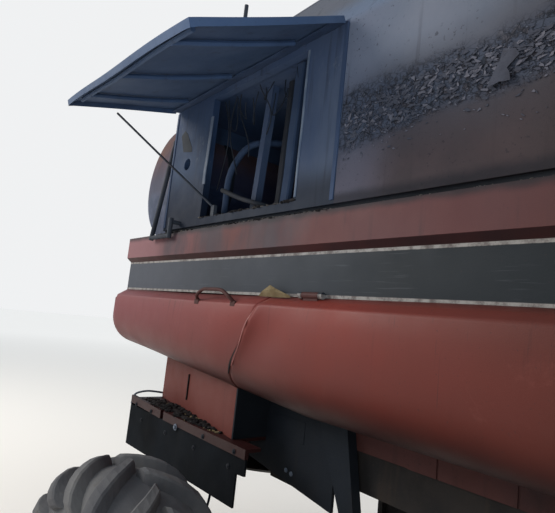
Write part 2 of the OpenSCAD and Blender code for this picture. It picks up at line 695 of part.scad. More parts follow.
// Cab side outline as [y, z], moved in by a wall
cab_foot_y = cab_front_y + 90;
module cab_side(in) polygon([
    [cab_foot_y + in, cab_floor_z + in], [cab_rear_y - in, cab_floor_z + in],
    [cab_rear_y - in, cab_top_z - in], [cab_front_y + in, cab_top_z - in]
]);
cab_door_ys = [-560, 180];
cab_door_low_z = cab_floor_z + 60;
cab_door_top_z = cab_top_z - 70;
module cab_shell() color(dark_red) in_frame() {
    cab_body();
    for (z = cab_hinge_zs) translate([cab_hinge[0], cab_hinge[1], z]) {
        translate([0, 0, -46]) cylinder(h = 92, r = cab_pin_r);
        for (e = [-1, 1]) translate([0, 0, e * 38 - 6]) {
            cylinder(h = 12, r = 12);
            box([cab_x - cab_hinge[0], -8, 0], [0, 8, 12]);
        }
    }
}
module cab_body() difference() {
    along_x(-cab_x, cab_x) cab_side(0);
    along_x(-cab_x + cab_wall, cab_x - cab_wall) cab_side(cab_wall);
    box([-cab_x + 90, cab_front_y - 60, cab_floor_z + 130], [cab_x - 90, cab_foot_y + 100, cab_top_z - 90]);
    box([-cab_x + 120, cab_rear_y - 100, cab_floor_z + 600],
        [cab_x - 120, cab_rear_y + eps, cab_top_z - 120]);
    box([cab_x - 100, cab_door_ys[0], cab_door_low_z], [cab_x + eps, cab_door_ys[1], cab_door_top_z]);
    box([-cab_x - eps, -900, cab_floor_z + 400], [-cab_x + 100, 180, cab_top_z - 90]);
}

// Cab roof with its overhang
module cab_roof() color(dark_red) in_frame() intersection() {
    along_x(-cab_x - 60, cab_x + 60) polygon([
        [cab_front_y - 120, cab_top_z], [cab_rear_y + 20, cab_top_z], [cab_rear_y + 20, cab_top_z + 85],
        [cab_rear_y - 40, cab_top_z + 130], [cab_front_y + 60, cab_top_z + 130],
            [cab_front_y - 120, cab_top_z + 95]
    ]);
    along_y(cab_front_y - 121, cab_rear_y + 21) polygon([
        [-cab_x - 60, cab_top_z - eps], [cab_x + 60, cab_top_z - eps], [cab_x + 60, cab_top_z + 75],
        [cab_x - 20, cab_top_z + 131], [-cab_x + 20, cab_top_z + 131], [-cab_x - 60, cab_top_z + 75]
    ]);
}

// Fixed cab windows
module cab_glass() color(glass_grey, 0.4) in_frame() {
    along_x(-cab_x + 90, cab_x - 90)
        polygon([for (p = [[20, 130], [28, 130], [28, cab_top_z - cab_floor_z - 90],
        [20, cab_top_z - cab_floor_z - 90]]) [cab_foot_y + p[0] + (cab_front_y - cab_foot_y) * p[1] / (cab_top_z - cab_floor_z),
        cab_floor_z + p[1]]]);
    box([-cab_x + 120, cab_rear_y - 40, cab_floor_z + 600],
        [cab_x - 120, cab_rear_y - 32, cab_top_z - 120]);
    box([-cab_x + 20, -900, cab_floor_z + 400], [-cab_x + 28, 180, cab_top_z - 90]);
}

// Hinged cab door with its frame, and its glass
cab_hinge = [cab_x + 20, cab_door_ys[1] + 10];
cab_hinge_zs = [cab_door_low_z + 200, cab_door_top_z - 200];
cab_pin_r = 6;
module cab_door() color(dark_red) in_frame() {
    difference() {
        box([cab_x - 35, cab_door_ys[0] + 8, cab_door_low_z + 8],
            [cab_x + 5, cab_door_ys[1] - 8, cab_door_top_z - 8]);
        box([cab_x - 36, cab_door_ys[0] + 68, cab_door_low_z + 180],
            [cab_x + 6, cab_door_ys[1] - 68, cab_door_top_z - 68]);
    }
    for (z = cab_hinge_zs) {
        translate([cab_hinge[0], cab_hinge[1], z - 30]) difference() {
            cylinder(h = 60, r = 12);
            translate([0, 0, -eps]) cylinder(h = 62, r = cab_pin_r + run_c);
        }
        box([cab_x + 5, cab_door_ys[1] - 40, z - 30], [cab_x + 13, cab_hinge[1] - 8, z + 30]);
    }
}
module cab_door_glass() color(glass_grey, 0.4) in_frame()
    box([cab_x - 20, cab_door_ys[0] + 68, cab_door_low_z + 180],
        [cab_x - 12, cab_door_ys[1] - 68, cab_door_top_z - 68]);

// Seat, steering column and console seen through the glass
module cab_interior() color(soot) in_frame() {
    floor_z = cab_floor_z + cab_wall;
    box([-150, -330, floor_z], [150, -30, floor_z + 300]);
    box([-250, -430, floor_z + 300], [250, 60, floor_z + 420]);
    box([-230, 0, floor_z + 420], [230, 110, floor_z + 950]);
    box([-60, -840, floor_z], [60, -720, floor_z + 60]);
    bar([0, -780, floor_z + 50], [0, -656, floor_z + 652], 40);
    translate([0, -655, floor_z + 655]) rotate([-15, 0, 0]) rotate_extrude() translate([190, 0])
        circle(r = 14);
    translate([0, -655, floor_z + 655]) rotate([-15, 0, 0]) box([-190, -12, -6], [190, 12, 6]);
    box([-700, -600, floor_z], [-420, 100, floor_z + 520]);
}

// Operator's platform left of the cab and its supports
platform_x = 1700;
platform_z = 1975;
platform_front_y = -920;
module operator_platform() color(soot) in_frame() {
    box([-cab_x, cab_foot_y, cab_floor_z - 60], [cab_x, band_front_y - 20, cab_floor_z]);
    box([cab_x, platform_front_y, platform_z - 40], [platform_x, band_front_y - 20, platform_z]);
    for (y = [-900, 340]) bar([platform_x - 30, y, platform_z], [platform_x - 30, y, platform_z + 850], 17);
    bar([platform_x - 30, -900, platform_z + 850], [platform_x - 30, 340, platform_z + 850], 17);
    bar([platform_x - 30, -900, platform_z + 430], [platform_x - 30, 340, platform_z + 430], 14);
}

// Ladders: operator's at the front left, engine deck's at the rear left, as [x, y top, z top, y foot, z foot]
// A ladder stands off the face at its head by stand, and its treads are 2 * half deep
module ladder(x, y0, z0, y1, z1, w, rungs, half, stand) {
    for (s = [-1, 1]) {
        bar([x + s * w / 2, y0, z0], [x + s * w / 2, y1, z1], 18);
        translate([x + s * w / 2, y0, z0 - 90]) box([-12, min(0, stand), 0], [12, max(0, stand), 50]);
    }
    for (i = [1:rungs]) let (k = i / (rungs + 0.3))
        box([x - w / 2, y0 + (y1 - y0) * k - half, z0 + (z1 - z0) * k - 8],
            [x + w / 2, y0 + (y1 - y0) * k + half, z0 + (z1 - z0) * k + 8]);
}
module ladders() color(soot) in_frame() {
    ladder(1400, platform_front_y - 30, platform_z + 50, platform_front_y - 330, 420, 440, 5, 60, 30);
    ladder(740, tail_y + 50, deck_z, tail_y + 90, 750, 400, 5, 30, -50);
}

// Boots of the grain and tailings elevators below the right side, as [y0, y1, boot radius, reach]
elevators = [[1180, 1470, 145, 190], [2050, 2260, 105, 160]];
boot_z = 1050;
module grain_elevator() color(dark_red) in_frame() for (e = elevators) mirror([1, 0, 0]) {
    y0 = e[0];
    y1 = e[1];
    x = body_x + e[3];
    along_y(y0, y1) polygon([[body_x, boot_z], [x, boot_z], [x, shield_low_z - 205],
        [body_x, shield_low_z - 55]]);
    rod_x(body_x, x, [(y0 + y1) / 2, boot_z], e[2]);
    box([shoe_x, y0 + 20, boot_z + 10], [body_x, y1 - 20, boot_z + 150]);
}

// Pulleys of the side drives inside the shields, as [y, z, radius, offset]
drives = [[1150, 1700, 150, 60], [1750, 1750, 220, 60], [2550, 1720, 160, 90], [3000, 1650, 110, 60]];
module side_drives() color(steel) in_frame() {
    for (d = drives) {
        rod_x(body_x, body_x + d[3], [d[0], d[1]], 30);
        rod_x(body_x + d[3], body_x + d[3] + 50, [d[0], d[1]], d[2]);
    }
}

// Rear axle beam with its pivot lug, kingpin ears and tow hitch plate
axle_pivot_r = 40;
rear_beam_h = 160;
ear_t = 40;
ear_gap = 70;
hitch_r = 16;
module rear_axle() color(soot) in_frame() translate([0, wheelbase, 0]) {
    box([-kingpin_x + 80, -80, rear_axle_z - rear_beam_h / 2],
        [kingpin_x - 80, 80, rear_axle_z + rear_beam_h / 2]);
    box([-130, -79, rear_axle_z + rear_beam_h / 2], [130, 79, hanger_z + 60]);
    rod_y(-115, 115, [0, hanger_z], axle_pivot_r);
    for (s = [-1, 1], e = [-1, 1]) on_side(s) difference() {
        union() {
            box([kingpin_x - 130, -60, rear_axle_z + (e > 0 ? ear_gap : -ear_gap - ear_t)],
                [kingpin_x, 60, rear_axle_z + (e > 0 ? ear_gap + ear_t : -ear_gap)]);
            translate([kingpin_x, 0, rear_axle_z + (e > 0 ? ear_gap : -ear_gap - ear_t)])
                cylinder(h = ear_t, r = 60);
        }
        translate([kingpin_x, 0, rear_axle_z - 200]) cylinder(h = 400, r = kingpin_r + run_c);
    }
    difference() {
        box([-90, 80, rear_axle_z - rear_beam_h / 2], [90, 240, rear_axle_z - rear_beam_h / 2 + 30]);
        translate([0, 180, rear_axle_z - rear_beam_h]) cylinder(h = rear_beam_h, r = hitch_r);
    }
}

// Steering knuckle: block on its kingpin, spindle and steering arm
module knuckle(s) translate([0, wheelbase, rear_axle_z]) on_side(s) {
    translate([kingpin_x, 0, -ear_gap + face_c]) cylinder(h = 2 * (ear_gap - face_c), r = 58);
    translate([kingpin_x, 0, -ear_gap - ear_t]) cylinder(h = 2 * (ear_gap + ear_t), r = kingpin_r);
    rod_x(kingpin_x + 40, rear_disc_x - face_c, [0, 0], 55);
    rod_x(kingpin_x + 40, rear_disc_x + 50, [0, 0], rear_spindle_r);
    box([kingpin_x - 30, 30, -50], [kingpin_x + 15, steer_arm_y + 30, -20]);
}
module knuckle_left() color(soot) in_frame() knuckle(1);
module knuckle_right() color(soot) in_frame() knuckle(-1);

// Tie rod on top of the steering arms
module tie_rod() color(steel) in_frame() {
    x = kingpin_x - 8;
    z = rear_axle_z - 20 + face_c;
    for (s = [-1, 1]) translate([s * x, wheelbase + steer_arm_y, z]) cylinder(h = 40, r = 30);
    rod_x(-x, x, [wheelbase + steer_arm_y, z + 20], 17);
}

// Tyre: revolved carcass with a ring of lugs on each side of its middle line. A lug runs through its
// sections, each with the share of its slant, the offset as a share of the width, and the drop below the top
lug_sections = [[0, -0.02, 0], [0.45, 0.2, 4], [0.78, 0.42, 50], [1, 0.5, 128]];
lug_foot_w = 66;
lug_top_w = 46;
lug_slant = 35;
module tyre(r, rim_r, w, lugs, x_mid, y, z) translate([x_mid, y, z]) {
    tread = r - lug_h;
    rotate([0, 90, 0]) rotate_extrude($fn = 48) polygon([
        for (s = [-1, 1]) let (half = [[rim_r, 0.38], [rim_r + (r - rim_r) * 0.36, 0.5], [tread - 145, 0.5],
            [tread - 70, 0.45], [tread - 20, 0.32], [tread, 0.12]])
            each [for (i = [0:5]) let (k = half[s < 0 ? i : 5 - i]) [k[0], s * w * k[1]]]
    ]);
    for (s = [-1, 1], i = [0:lugs - 1]) lug(r, w, s, 360 * (i + (s < 0 ? 0.5 : 0)) / lugs);
}
module lug(r, w, s, at) skin([for (k = lug_sections)
    let (top = r - k[2], foot = top - lug_h - 12, a = at + lug_slant * w / r * k[0])
    [for (c = [[foot, -lug_foot_w], [top, -lug_top_w], [top, lug_top_w], [foot, lug_foot_w]])
        let (turn = a + c[1] / 2 / r * 180 / PI) [s * w * k[1], c[0] * cos(turn), c[0] * sin(turn)]]
]);
module front_tyre(s) on_side(s)
    tyre(front_tyre_r, front_rim_r, front_tyre_w, 22, front_track / 2, 0, front_axle_z);
module rear_tyre(s) on_side(s)
    tyre(rear_tyre_r, rear_rim_r, rear_tyre_w, 18, rear_track / 2, wheelbase, rear_axle_z);
module front_tyre_left() color(tyre_grey) in_frame() front_tyre(1);
module front_tyre_right() color(tyre_grey) in_frame() front_tyre(-1);
module rear_tyre_left() color(tyre_grey) in_frame() rear_tyre(1);
module rear_tyre_right() color(tyre_grey) in_frame() rear_tyre(-1);

// Rim with its barrel, flanges and dished disc: barrel from x0 to x1, disc at xd with a centre bore
module rim(r, x0, x1, xd, hub_r, bore_r, y, z) translate([0, y, z]) rotate([0, 90, 0])
    rotate_extrude($fn = 64) polygon([
    [bore_r, xd], [hub_r, xd], [r - 60, xd + 10], [r - 12, xd], [r - 12, x0], [r, x0],
    [r, x1], [r - 12, x1], [r - 12, xd + 20], [r - 60, xd + 30], [hub_r, xd + 20], [bore_r, xd + 20]
]);
module front_rim(s) on_side(s) rim(front_rim_r, front_track / 2 - front_tyre_w * 0.4,
    front_track / 2 + front_tyre_w * 0.4,
    front_hub_x, 220, front_spindle_r + run_c, 0, front_axle_z);
module rear_rim(s) on_side(s) rim(rear_rim_r, rear_track / 2 - rear_tyre_w * 0.4,
    rear_track / 2 + rear_tyre_w * 0.4,
    rear_disc_x, 130, rear_spindle_r + run_c, wheelbase, rear_axle_z);
module front_rim_left() color(steel) in_frame() front_rim(1);
module front_rim_right() color(steel) in_frame() front_rim(-1);
module rear_rim_left() color(steel) in_frame() rear_rim(1);
module rear_rim_right() color(steel) in_frame() rear_rim(-1);

// Feeder house: hollow casing with a round rear end on the pivot, open at its mouth
feeder_wall = 12;
feeder_back_y = feeder_pivot[0] - 60;
function feeder_floor_z(y) = let (rear_z = feeder_pivot[1] - feeder_round_r + 8)
    rear_z + (rear_z - feeder_low_z) * (y - feeder_back_y) / (feeder_back_y + feeder_reach);
module feeder_side(in) {
    r = feeder_round_r - in;
    translate(feeder_pivot) circle(r = r);
    mouth_y = -feeder_reach - (in > 0 ? eps : 0);
    polygon([[feeder_back_y, feeder_pivot[1] + r - 8], [feeder_back_y, feeder_pivot[1] - r + 8],
             [mouth_y, feeder_low_z + in], [mouth_y, feeder_top_z - in]]);
}
module feeder_house() color(dark_red) in_frame() {
    difference() {
        union() {
            along_x(-feeder_x, feeder_x) feeder_side(0);
            for (s = [-1, 1]) on_side(s) rod_x(feeder_x, rail_in_x + rail_w, feeder_pivot, feeder_pin_r);
            box([-feeder_x - 60, -feeder_reach, feeder_low_z],
                [feeder_x + 60, -feeder_reach + 60, feeder_top_z]);
            for (s = [-1, 1], x = [lift_x - 75, lift_x + 45]) on_side(s) along_x(x, x + 30) {
                translate(lift_eye) circle(r = 45);
                polygon([[lift_eye[0] - 45, lift_eye[1]], [lift_eye[0] + 45, lift_eye[1]],
                         for (e = [90, -90]) [lift_eye[0] + e,
                             feeder_floor_z(lift_eye[0] + e) + feeder_wall / 2]]);
            }
        }
        along_x(-feeder_x + feeder_wall, feeder_x - feeder_wall) feeder_side(feeder_wall);
    }
    for (s = [-1, 1]) rod_x(s * lift_x - 75, s * lift_x + 75, lift_eye, lift_pin_r);
}

// Feeder chain seen in the mouth: front drum, and strands with slats above and below it
slat_count = 7;
slat_pitch = 190;
strand_x = [-430, -145, 145, 430];
module feeder_chain() color(steel) in_frame() {
    c = [-feeder_reach + 320, feeder_floor_z(-feeder_reach + 320) + 195];
    difference() {
        rod_x(-feeder_x + feeder_wall, feeder_x - feeder_wall, c, 120);
        for (s = [-1, 1]) on_side(s) rod_x(20, feeder_x, c, 110);
    }
    rod_x(-feeder_x + feeder_wall, feeder_x - feeder_wall, c, 25);
    fall = atan2(feeder_floor_z(0) - feeder_floor_z(-1000), 1000);
    translate([0, c[0], c[1]]) rotate([fall, 0, 0]) for (e = [-1, 1]) {
        for (x = strand_x) box([x - 9, -40, e * 126 - 8], [x + 9, slat_count * slat_pitch, e * 126 + 8]);
        for (i = [0:slat_count - 1])
            box([-feeder_x + 60, i * slat_pitch - 18, e * 144 - 15],
                [feeder_x - 60, i * slat_pitch + 18, e * 144 + 15]);
    }
}

// Lift cylinders: barrel on the axle's pin, rod with its eye on the feeder's pin
lift_len = norm(lift_eye - lift_base);
lift_angle = atan2(lift_eye[1] - lift_base[1], lift_eye[0] - lift_base[0]);
lift_barrel_len = 730;
eye_hole_r = lift_pin_r + 14;
module at_lift(s) translate([s * lift_x, lift_base[0], lift_base[1]]) rotate([lift_angle, 0, 0]) children();
module lift_barrel(s) at_lift(s) {
    difference() {
        union() {
            rod_x(-44, 44, [0, 0], 45);
            rod_y(20, 90, [0, 0], 38);
            rod_y(80, lift_barrel_len, [0, 0], lift_barrel_r);
        }
        rod_x(-50, 50, [0, 0], lift_pin_r + run_c);
        rod_y(120, lift_barrel_len + eps, [0, 0], 30 + run_c);
    }
}
module lift_rod(s) at_lift(s) difference() {
    union() {
        rod_y(210, lift_len - 30, [0, 0], 30);
        rod_x(-44, 44, [lift_len, 0], 55);
    }
    rod_x(-50, 50, [lift_len, 0], eye_hole_r);
}
module lift_barrel_left() color(soot) in_frame() lift_barrel(1);
module lift_barrel_right() color(soot) in_frame() lift_barrel(-1);
module lift_rod_left() color(steel) in_frame() lift_rod(1);
module lift_rod_right() color(steel) in_frame() lift_rod(-1);

// Unloading auger: fixed lower elbow and the swinging tube
auger_pivot = [1450, 560];
auger_split_z = 2600;
module auger_base() color(dark_red) in_frame() {
    translate([auger_pivot[0], auger_pivot[1], deck_z + 80])
        cylinder(h = auger_split_z - deck_z - 80, r = auger_r);
    translate([auger_pivot[0], auger_pivot[1], auger_split_z - 25]) cylinder(h = 25, r = auger_r + 35);
    difference() {
        box([stripe_x, auger_pivot[1] - 110, deck_z + 90],
            [auger_pivot[0], auger_pivot[1] + 110, deck_z + 280]);
        translate([auger_pivot[0], auger_pivot[1], deck_z]) cylinder(h = 500, r = auger_r);
    }
    translate([auger_pivot[0], auger_pivot[1], auger_split_z]) cylinder(h = 60, r = auger_spigot_r);
}
auger_spigot_r = 120;
module unloading_auger() color(dark_red) in_frame() difference() {
    union() {
        translate([auger_pivot[0], auger_pivot[1], auger_split_z + face_c])
            cylinder(h = 25, r = auger_r + 35);
        translate([auger_pivot[0], auger_pivot[1], auger_split_z + face_c])
            cylinder(h = auger_z - auger_split_z + auger_r, r = auger_r);
        rod_y(auger_pivot[1], auger_pivot[1] + auger_len, [auger_pivot[0], auger_z], auger_r);
    }
    translate([auger_pivot[0], auger_pivot[1], auger_split_z - eps])
        cylinder(h = 62, r = auger_spigot_r + run_c);
    rod_y(auger_pivot[1] + 900, auger_pivot[1] + auger_len + eps, [auger_pivot[0], auger_z], auger_r - 8);
}

// Work lamps on the cab roof and tail lamps
module lamps() color(steel) in_frame() {
    for (x = [-700, -450, 450, 700])
        box([x - 80, cab_front_y - 150, cab_top_z + 20], [x + 80, cab_front_y - 120, cab_top_z + 110]);
    for (s = [-1, 1]) box([s * 1150 - 50, tail_y, 2180], [s * 1150 + 50, tail_y + 30, 2240]);
}

// Mirrors on their arms from the cab's front posts
module mirrors() color(soot) in_frame() for (s = [-1, 1]) on_side(s) {
    box([cab_x, cab_front_y + 90, cab_top_z - 230], [cab_x + 12, cab_front_y + 150, cab_top_z - 170]);
    bar([cab_x + 11, cab_front_y + 120, cab_top_z - 200],
        [cab_x + 420, cab_front_y - 60, cab_top_z - 200], 11);
    box([cab_x + 340, cab_front_y - 80, cab_top_z - 600], [cab_x + 520, cab_front_y - 50, cab_top_z - 180]);
}

chassis_frame();
front_axle();
separator_body();
cleaning_shoe();
deck();
fascia_right();
fascia_left();
tail_hood();
discharge_chute();
spreader_frame();
spreader_curtain();
side_sheets();
grain_tank();
engine_bay();
engine_roof();
engine_block();
radiator();
fuel_tank();
exhaust_stack();
handrails();
cab_shell();
cab_roof();
cab_glass();
cab_interior();
operator_platform();
ladders();
grain_elevator();
side_drives();
rear_axle();
auger_base();
lamps();
mirrors();
feeder_house();
feeder_chain();
lift_barrel_left();
lift_barrel_right();
lift_rod_left();
lift_rod_right();
front_tyre_left();
front_tyre_right();
front_rim_left();
front_rim_right();
knuckle_left();
knuckle_right();
rear_tyre_left();
rear_tyre_right();
rear_rim_left();
rear_rim_right();
tie_rod();
cab_door();
cab_door_glass();
unloading_auger();
shield_left();
shield_right();
service_door();
spreader_disc_left();
spreader_disc_right();
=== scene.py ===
"""Looks of a burnt-out rotary combine harvester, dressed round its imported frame."""
import json

import bmesh
import bpy
import numpy as np
from mathutils import Matrix, Vector


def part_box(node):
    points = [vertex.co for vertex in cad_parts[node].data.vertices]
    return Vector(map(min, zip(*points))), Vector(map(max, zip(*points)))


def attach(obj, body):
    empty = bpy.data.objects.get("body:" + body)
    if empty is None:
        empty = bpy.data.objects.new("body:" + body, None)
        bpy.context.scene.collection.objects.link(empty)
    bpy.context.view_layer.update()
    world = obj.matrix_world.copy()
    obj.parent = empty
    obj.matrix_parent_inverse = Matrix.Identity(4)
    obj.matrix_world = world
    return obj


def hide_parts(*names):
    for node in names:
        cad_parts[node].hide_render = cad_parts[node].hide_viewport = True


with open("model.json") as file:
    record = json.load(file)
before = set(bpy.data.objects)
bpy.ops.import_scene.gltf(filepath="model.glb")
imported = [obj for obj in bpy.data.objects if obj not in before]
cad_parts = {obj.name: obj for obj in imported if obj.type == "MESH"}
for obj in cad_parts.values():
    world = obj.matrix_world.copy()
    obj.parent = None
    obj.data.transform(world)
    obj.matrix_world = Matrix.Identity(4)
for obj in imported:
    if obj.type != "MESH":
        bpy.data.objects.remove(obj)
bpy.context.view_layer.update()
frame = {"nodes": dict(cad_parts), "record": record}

# Camera: hand-held view from beside the right front wheel, looking at the tail
camera_place = Vector((-2.55, 0.2925, 1.85))
camera_right = Vector((0.766, -0.6339, 0.1052))
camera_up = Vector((-0.1628, -0.0331, 0.9861))
focal_px = 490.0
photo_width_px = 555.0
sensor_mm = 36.0


def build_camera():
    """Camera that looks along the negative cross product of its right and up directions."""
    data = bpy.data.cameras.new("camera")
    data.sensor_width = sensor_mm
    data.lens = sensor_mm * focal_px / photo_width_px
    data.clip_end = 200.0
    camera = bpy.data.objects.new("camera", data)
    bpy.context.scene.collection.objects.link(camera)
    back = camera_right.cross(camera_up).normalized()
    up = back.cross(camera_right).normalized()
    axes = Matrix((camera_right.normalized(), up, back)).transposed()
    camera.matrix_world = Matrix.Translation(camera_place) @ axes.to_4x4()
    bpy.context.scene.camera = camera


def srgb(r, g, b):
    """Linear colour of an 8-bit screen colour."""
    linear = [c / 255 / 12.92 if c <= 10 else ((c / 255 + 0.055) / 1.055) ** 2.4 for c in (r, g, b)]
    return (*linear, 1.0)


def build_floor():
    """Level pale floor that glows more with distance, so that its far edge melts into the background."""
    half = 60.0
    mesh = bpy.data.meshes.new("floor")
    mesh.from_pydata([(-half, -half, 0), (half, -half, 0), (half, half, 0), (-half, half, 0)],
                     [], [(0, 1, 2, 3)])
    floor = bpy.data.objects.new("floor", mesh)
    bpy.context.scene.collection.objects.link(floor)
    material = bpy.data.materials.new("pale_floor")
    material.use_nodes = True
    shader = material.node_tree.nodes["Principled BSDF"]
    shader.inputs["Base Color"].default_value = srgb(250, 243, 234)
    shader.inputs["Roughness"].default_value = 0.9
    tree = material.node_tree
    away = tree.nodes.new("ShaderNodeVectorMath")
    away.operation = "LENGTH"
    tree.links.new(tree.nodes.new("ShaderNodeTexCoord").outputs["Object"], away.inputs[0])
    glow = tree.nodes.new("ShaderNodeMapRange")
    for socket, value in (("From Min", 5.0), ("From Max", 26.0), ("To Min", 0.0), ("To Max", 0.34)):
        glow.inputs[socket].default_value = value
    tree.links.new(away.outputs["Value"], glow.inputs["Value"])
    shader.inputs["Emission Color"].default_value = (1, 1, 1, 1)
    tree.links.new(glow.outputs["Result"], shader.inputs["Emission Strength"])
    floor.data.materials.append(material)


def build_world():
    """Soft even sky for the object, plain white where the camera looks past it."""
    world = bpy.data.worlds.new("soft_sky")
    bpy.context.scene.world = world
    world.use_nodes = True
    tree = world.node_tree
    tree.nodes.clear()
    out = tree.nodes.new("ShaderNodeOutputWorld")
    lit = tree.nodes.new("ShaderNodeBackground")
    lit.inputs["Color"].default_value = (0.84, 0.92, 1.0, 1)
    lit.inputs["Strength"].default_value = 0.62
    seen = tree.nodes.new("ShaderNodeBackground")
    seen.inputs["Color"].default_value = (0.87, 0.88, 0.89, 1)
    path = tree.nodes.new("ShaderNodeLightPath")
    either = tree.nodes.new("ShaderNodeMath")
    either.operation = "MAXIMUM"
    mix = tree.nodes.new("ShaderNodeMixShader")
    tree.links.new(path.outputs["Is Camera Ray"], either.inputs[0])
    tree.links.new(path.outputs["Is Transmission Ray"], either.inputs[1])
    tree.links.new(either.outputs[0], mix.inputs[0])
    tree.links.new(lit.outputs[0], mix.inputs[1])
    tree.links.new(seen.outputs[0], mix.inputs[2])
    tree.links.new(mix.outputs[0], out.inputs[0])


def build_lamps():
    """Two large round soft lamps, one behind the machine on its right, one ahead of it on its left."""
    # name, place, aim, size in metres, watts, colour
    lamps = [
        ("tail_lamp_soft", (-8.0, 9.0, 6.5), (-1.0, 1.8, 1.6), 5.0, 700.0, (1.0, 0.96, 0.91)),
        ("front_lamp_soft", (8.0, -8.0, 7.0), (0.5, -1.0, 1.6), 7.0, 450.0, (0.95, 0.97, 1.0)),
    ]
    for name, place, aim, size, watts, colour in lamps:
        data = bpy.data.lights.new(name, "AREA")
        data.shape = "DISK"
        data.size = size
        data.energy = watts
        data.color = colour
        lamp = bpy.data.objects.new(name, data)
        lamp.location = place
        lamp.rotation_euler = (Vector(aim) - Vector(place)).to_track_quat("-Z", "Y").to_euler()
        bpy.context.scene.collection.objects.link(lamp)


def build_fill():
    """Faint blue light thrown up into the engine bay and under the open door, from beside the camera."""
    data = bpy.data.lights.new("bay_fill_soft", "SPOT")
    data.energy, data.color = 75.0, (0.55, 0.76, 1.0)
    data.spot_size, data.spot_blend, data.shadow_soft_size = 0.95, 1.0, 0.5
    lamp = bpy.data.objects.new("bay_fill_soft", data)
    lamp.location = (-2.45, 0.55, 2.0)
    lamp.rotation_euler = (Vector((-1.15, 2.35, 3.0)) - lamp.location).to_track_quat("-Z", "Y").to_euler()
    bpy.context.scene.collection.objects.link(lamp)


build_fill()
build_camera()
build_floor()
build_world()
build_lamps()
bpy.context.scene.view_settings.view_transform = "Standard"

# Places the pieces share, in metres; lengths along the machine run rearwards from the front axle
front_axle_y = sum(corner.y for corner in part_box("front_rim_right")) / 2
deck_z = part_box("deck")[1].z - 0.03
stripe_x = -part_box("grain_tank")[0].x
fold_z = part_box("engine_bay")[1].z + 0.025
tank_top_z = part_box("grain_tank")[1].z


def rearward(distance):
    """Place along the frame's Y of a distance behind the front axle."""
    return front_axle_y + distance


SIDES = ((-1, "right"), (1, "left"))

# Making meshes from arrays
def put_piece(name, points, faces, material, slot, body="root", smooth=False, closed=True):
    """Puts one mesh in the scene, riding on a body; closed shells get their faces turned outwards."""
    mesh = bpy.data.meshes.new(name)
    mesh.from_pydata(np.asarray(points, float).reshape(-1, 3).tolist(), [],
                     [list(map(int, f)) for f in faces])
    if closed:
        work = bmesh.new()
        work.from_mesh(mesh)
        bmesh.ops.recalc_face_normals(work, faces=work.faces)
        work.to_mesh(mesh)
        work.free()
    mesh.polygons.foreach_set("use_smooth", [smooth] * len(mesh.polygons))
    piece = bpy.data.objects.new(name, mesh)
    bpy.context.scene.collection.objects.link(piece)
    mesh.materials.append(material)
    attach(piece, body)
    return piece


def grid_faces(rows, columns, wrap=False):
    """Four-sided faces between the rows and columns of a grid of points, wrapping over columns if asked."""
    i, j = np.meshgrid(np.arange(rows - 1), np.arange(columns if wrap else columns - 1), indexing="ij")
    j2 = (j + 1) % columns
    corners = [i * columns + j, i * columns + j2, (i + 1) * columns + j2, (i + 1) * columns + j]
    return np.stack(corners, -1).reshape(-1, 4)


def thicken(piece, thickness):
    """Gives a sheet its thickness, inwards from the face that is seen."""
    wall = piece.modifiers.new("thickness", "SOLIDIFY")
    wall.thickness = thickness
    wall.offset = -1.0
    return piece


def soften(piece, width, segments=2):
    """Rounds the piece's sharp edges."""
    edge = piece.modifiers.new("soft_edges", "BEVEL")
    edge.width = width
    edge.segments = segments
    edge.limit_method = "ANGLE"
    return piece


def rounded_path(corners, radius, steps=5):
    """Polyline with each inner corner replaced by a parabola from radius before it to radius after it."""
    corners = np.asarray(corners, float)
    points = [corners[0]]
    for before, at, after in zip(corners[:-2], corners[1:-1], corners[2:]):
        reach = min(radius, np.linalg.norm(at - before) * 0.49, np.linalg.norm(after - at) * 0.49)
        start = at + (before - at) / np.linalg.norm(before - at) * reach
        end = at + (after - at) / np.linalg.norm(after - at) * reach
        t = np.linspace(0, 1, steps)[:, None]
        points.extend((1 - t) ** 2 * start + 2 * t * (1 - t) * at + t ** 2 * end)
    points.append(corners[-1])
    return np.array(points)


def tube_mesh(path, radius, sides=10):
    """Circle of sides points carried along a path, square to it, with both ends closed by one face."""
    path = np.asarray(path, float)
    along = np.gradient(path, axis=0)
    along /= np.linalg.norm(along, axis=1)[:, None]
    steady = np.array([0.0, 0.0, 1.0]) if abs(along[:, 2]).max() < 0.95 else np.array([0.31, 0.95, 0.05])
    across = np.cross(along, steady)
    across /= np.linalg.norm(across, axis=1)[:, None]
    over = np.cross(along, across)
    angle = np.linspace(0, 2 * np.pi, sides, endpoint=False)
    radius = np.broadcast_to(np.asarray(radius, float), len(path))
    ring = np.cos(angle)[None, :, None] * across[:, None] + np.sin(angle)[None, :, None] * over[:, None]
    points = path[:, None] + ring * radius[:, None, None]
    faces = grid_faces(len(path), sides, wrap=True).tolist()
    last = (len(path) - 1) * sides
    faces += [list(range(sides))[::-1], list(range(last, last + sides))]
    return points.reshape(-1, 3), faces


def box_mesh(lo, hi):
    """Eight corners and six faces between two corners."""
    lo, hi = np.asarray(lo, float), np.asarray(hi, float)
    pick = np.array([[0, 0, 0], [1, 0, 0], [1, 1, 0], [0, 1, 0], [0, 0, 1], [1, 0, 1], [1, 1, 1], [0, 1, 1]])
    faces = [[3, 2, 1, 0], [4, 5, 6, 7], [0, 1, 5, 4], [1, 2, 6, 5], [2, 3, 7, 6], [3, 0, 4, 7]]
    return lo + pick * (hi - lo), faces


def four_sided(rings):
    """Bar through rows of four corners each, with both ends closed by one face."""
    n = len(rings)
    ends = [[3, 2, 1, 0], [4 * n - 4, 4 * n - 3, 4 * n - 2, 4 * n - 1]]
    return rings.reshape(-1, 3), grid_faces(n, 4, wrap=True).tolist() + ends


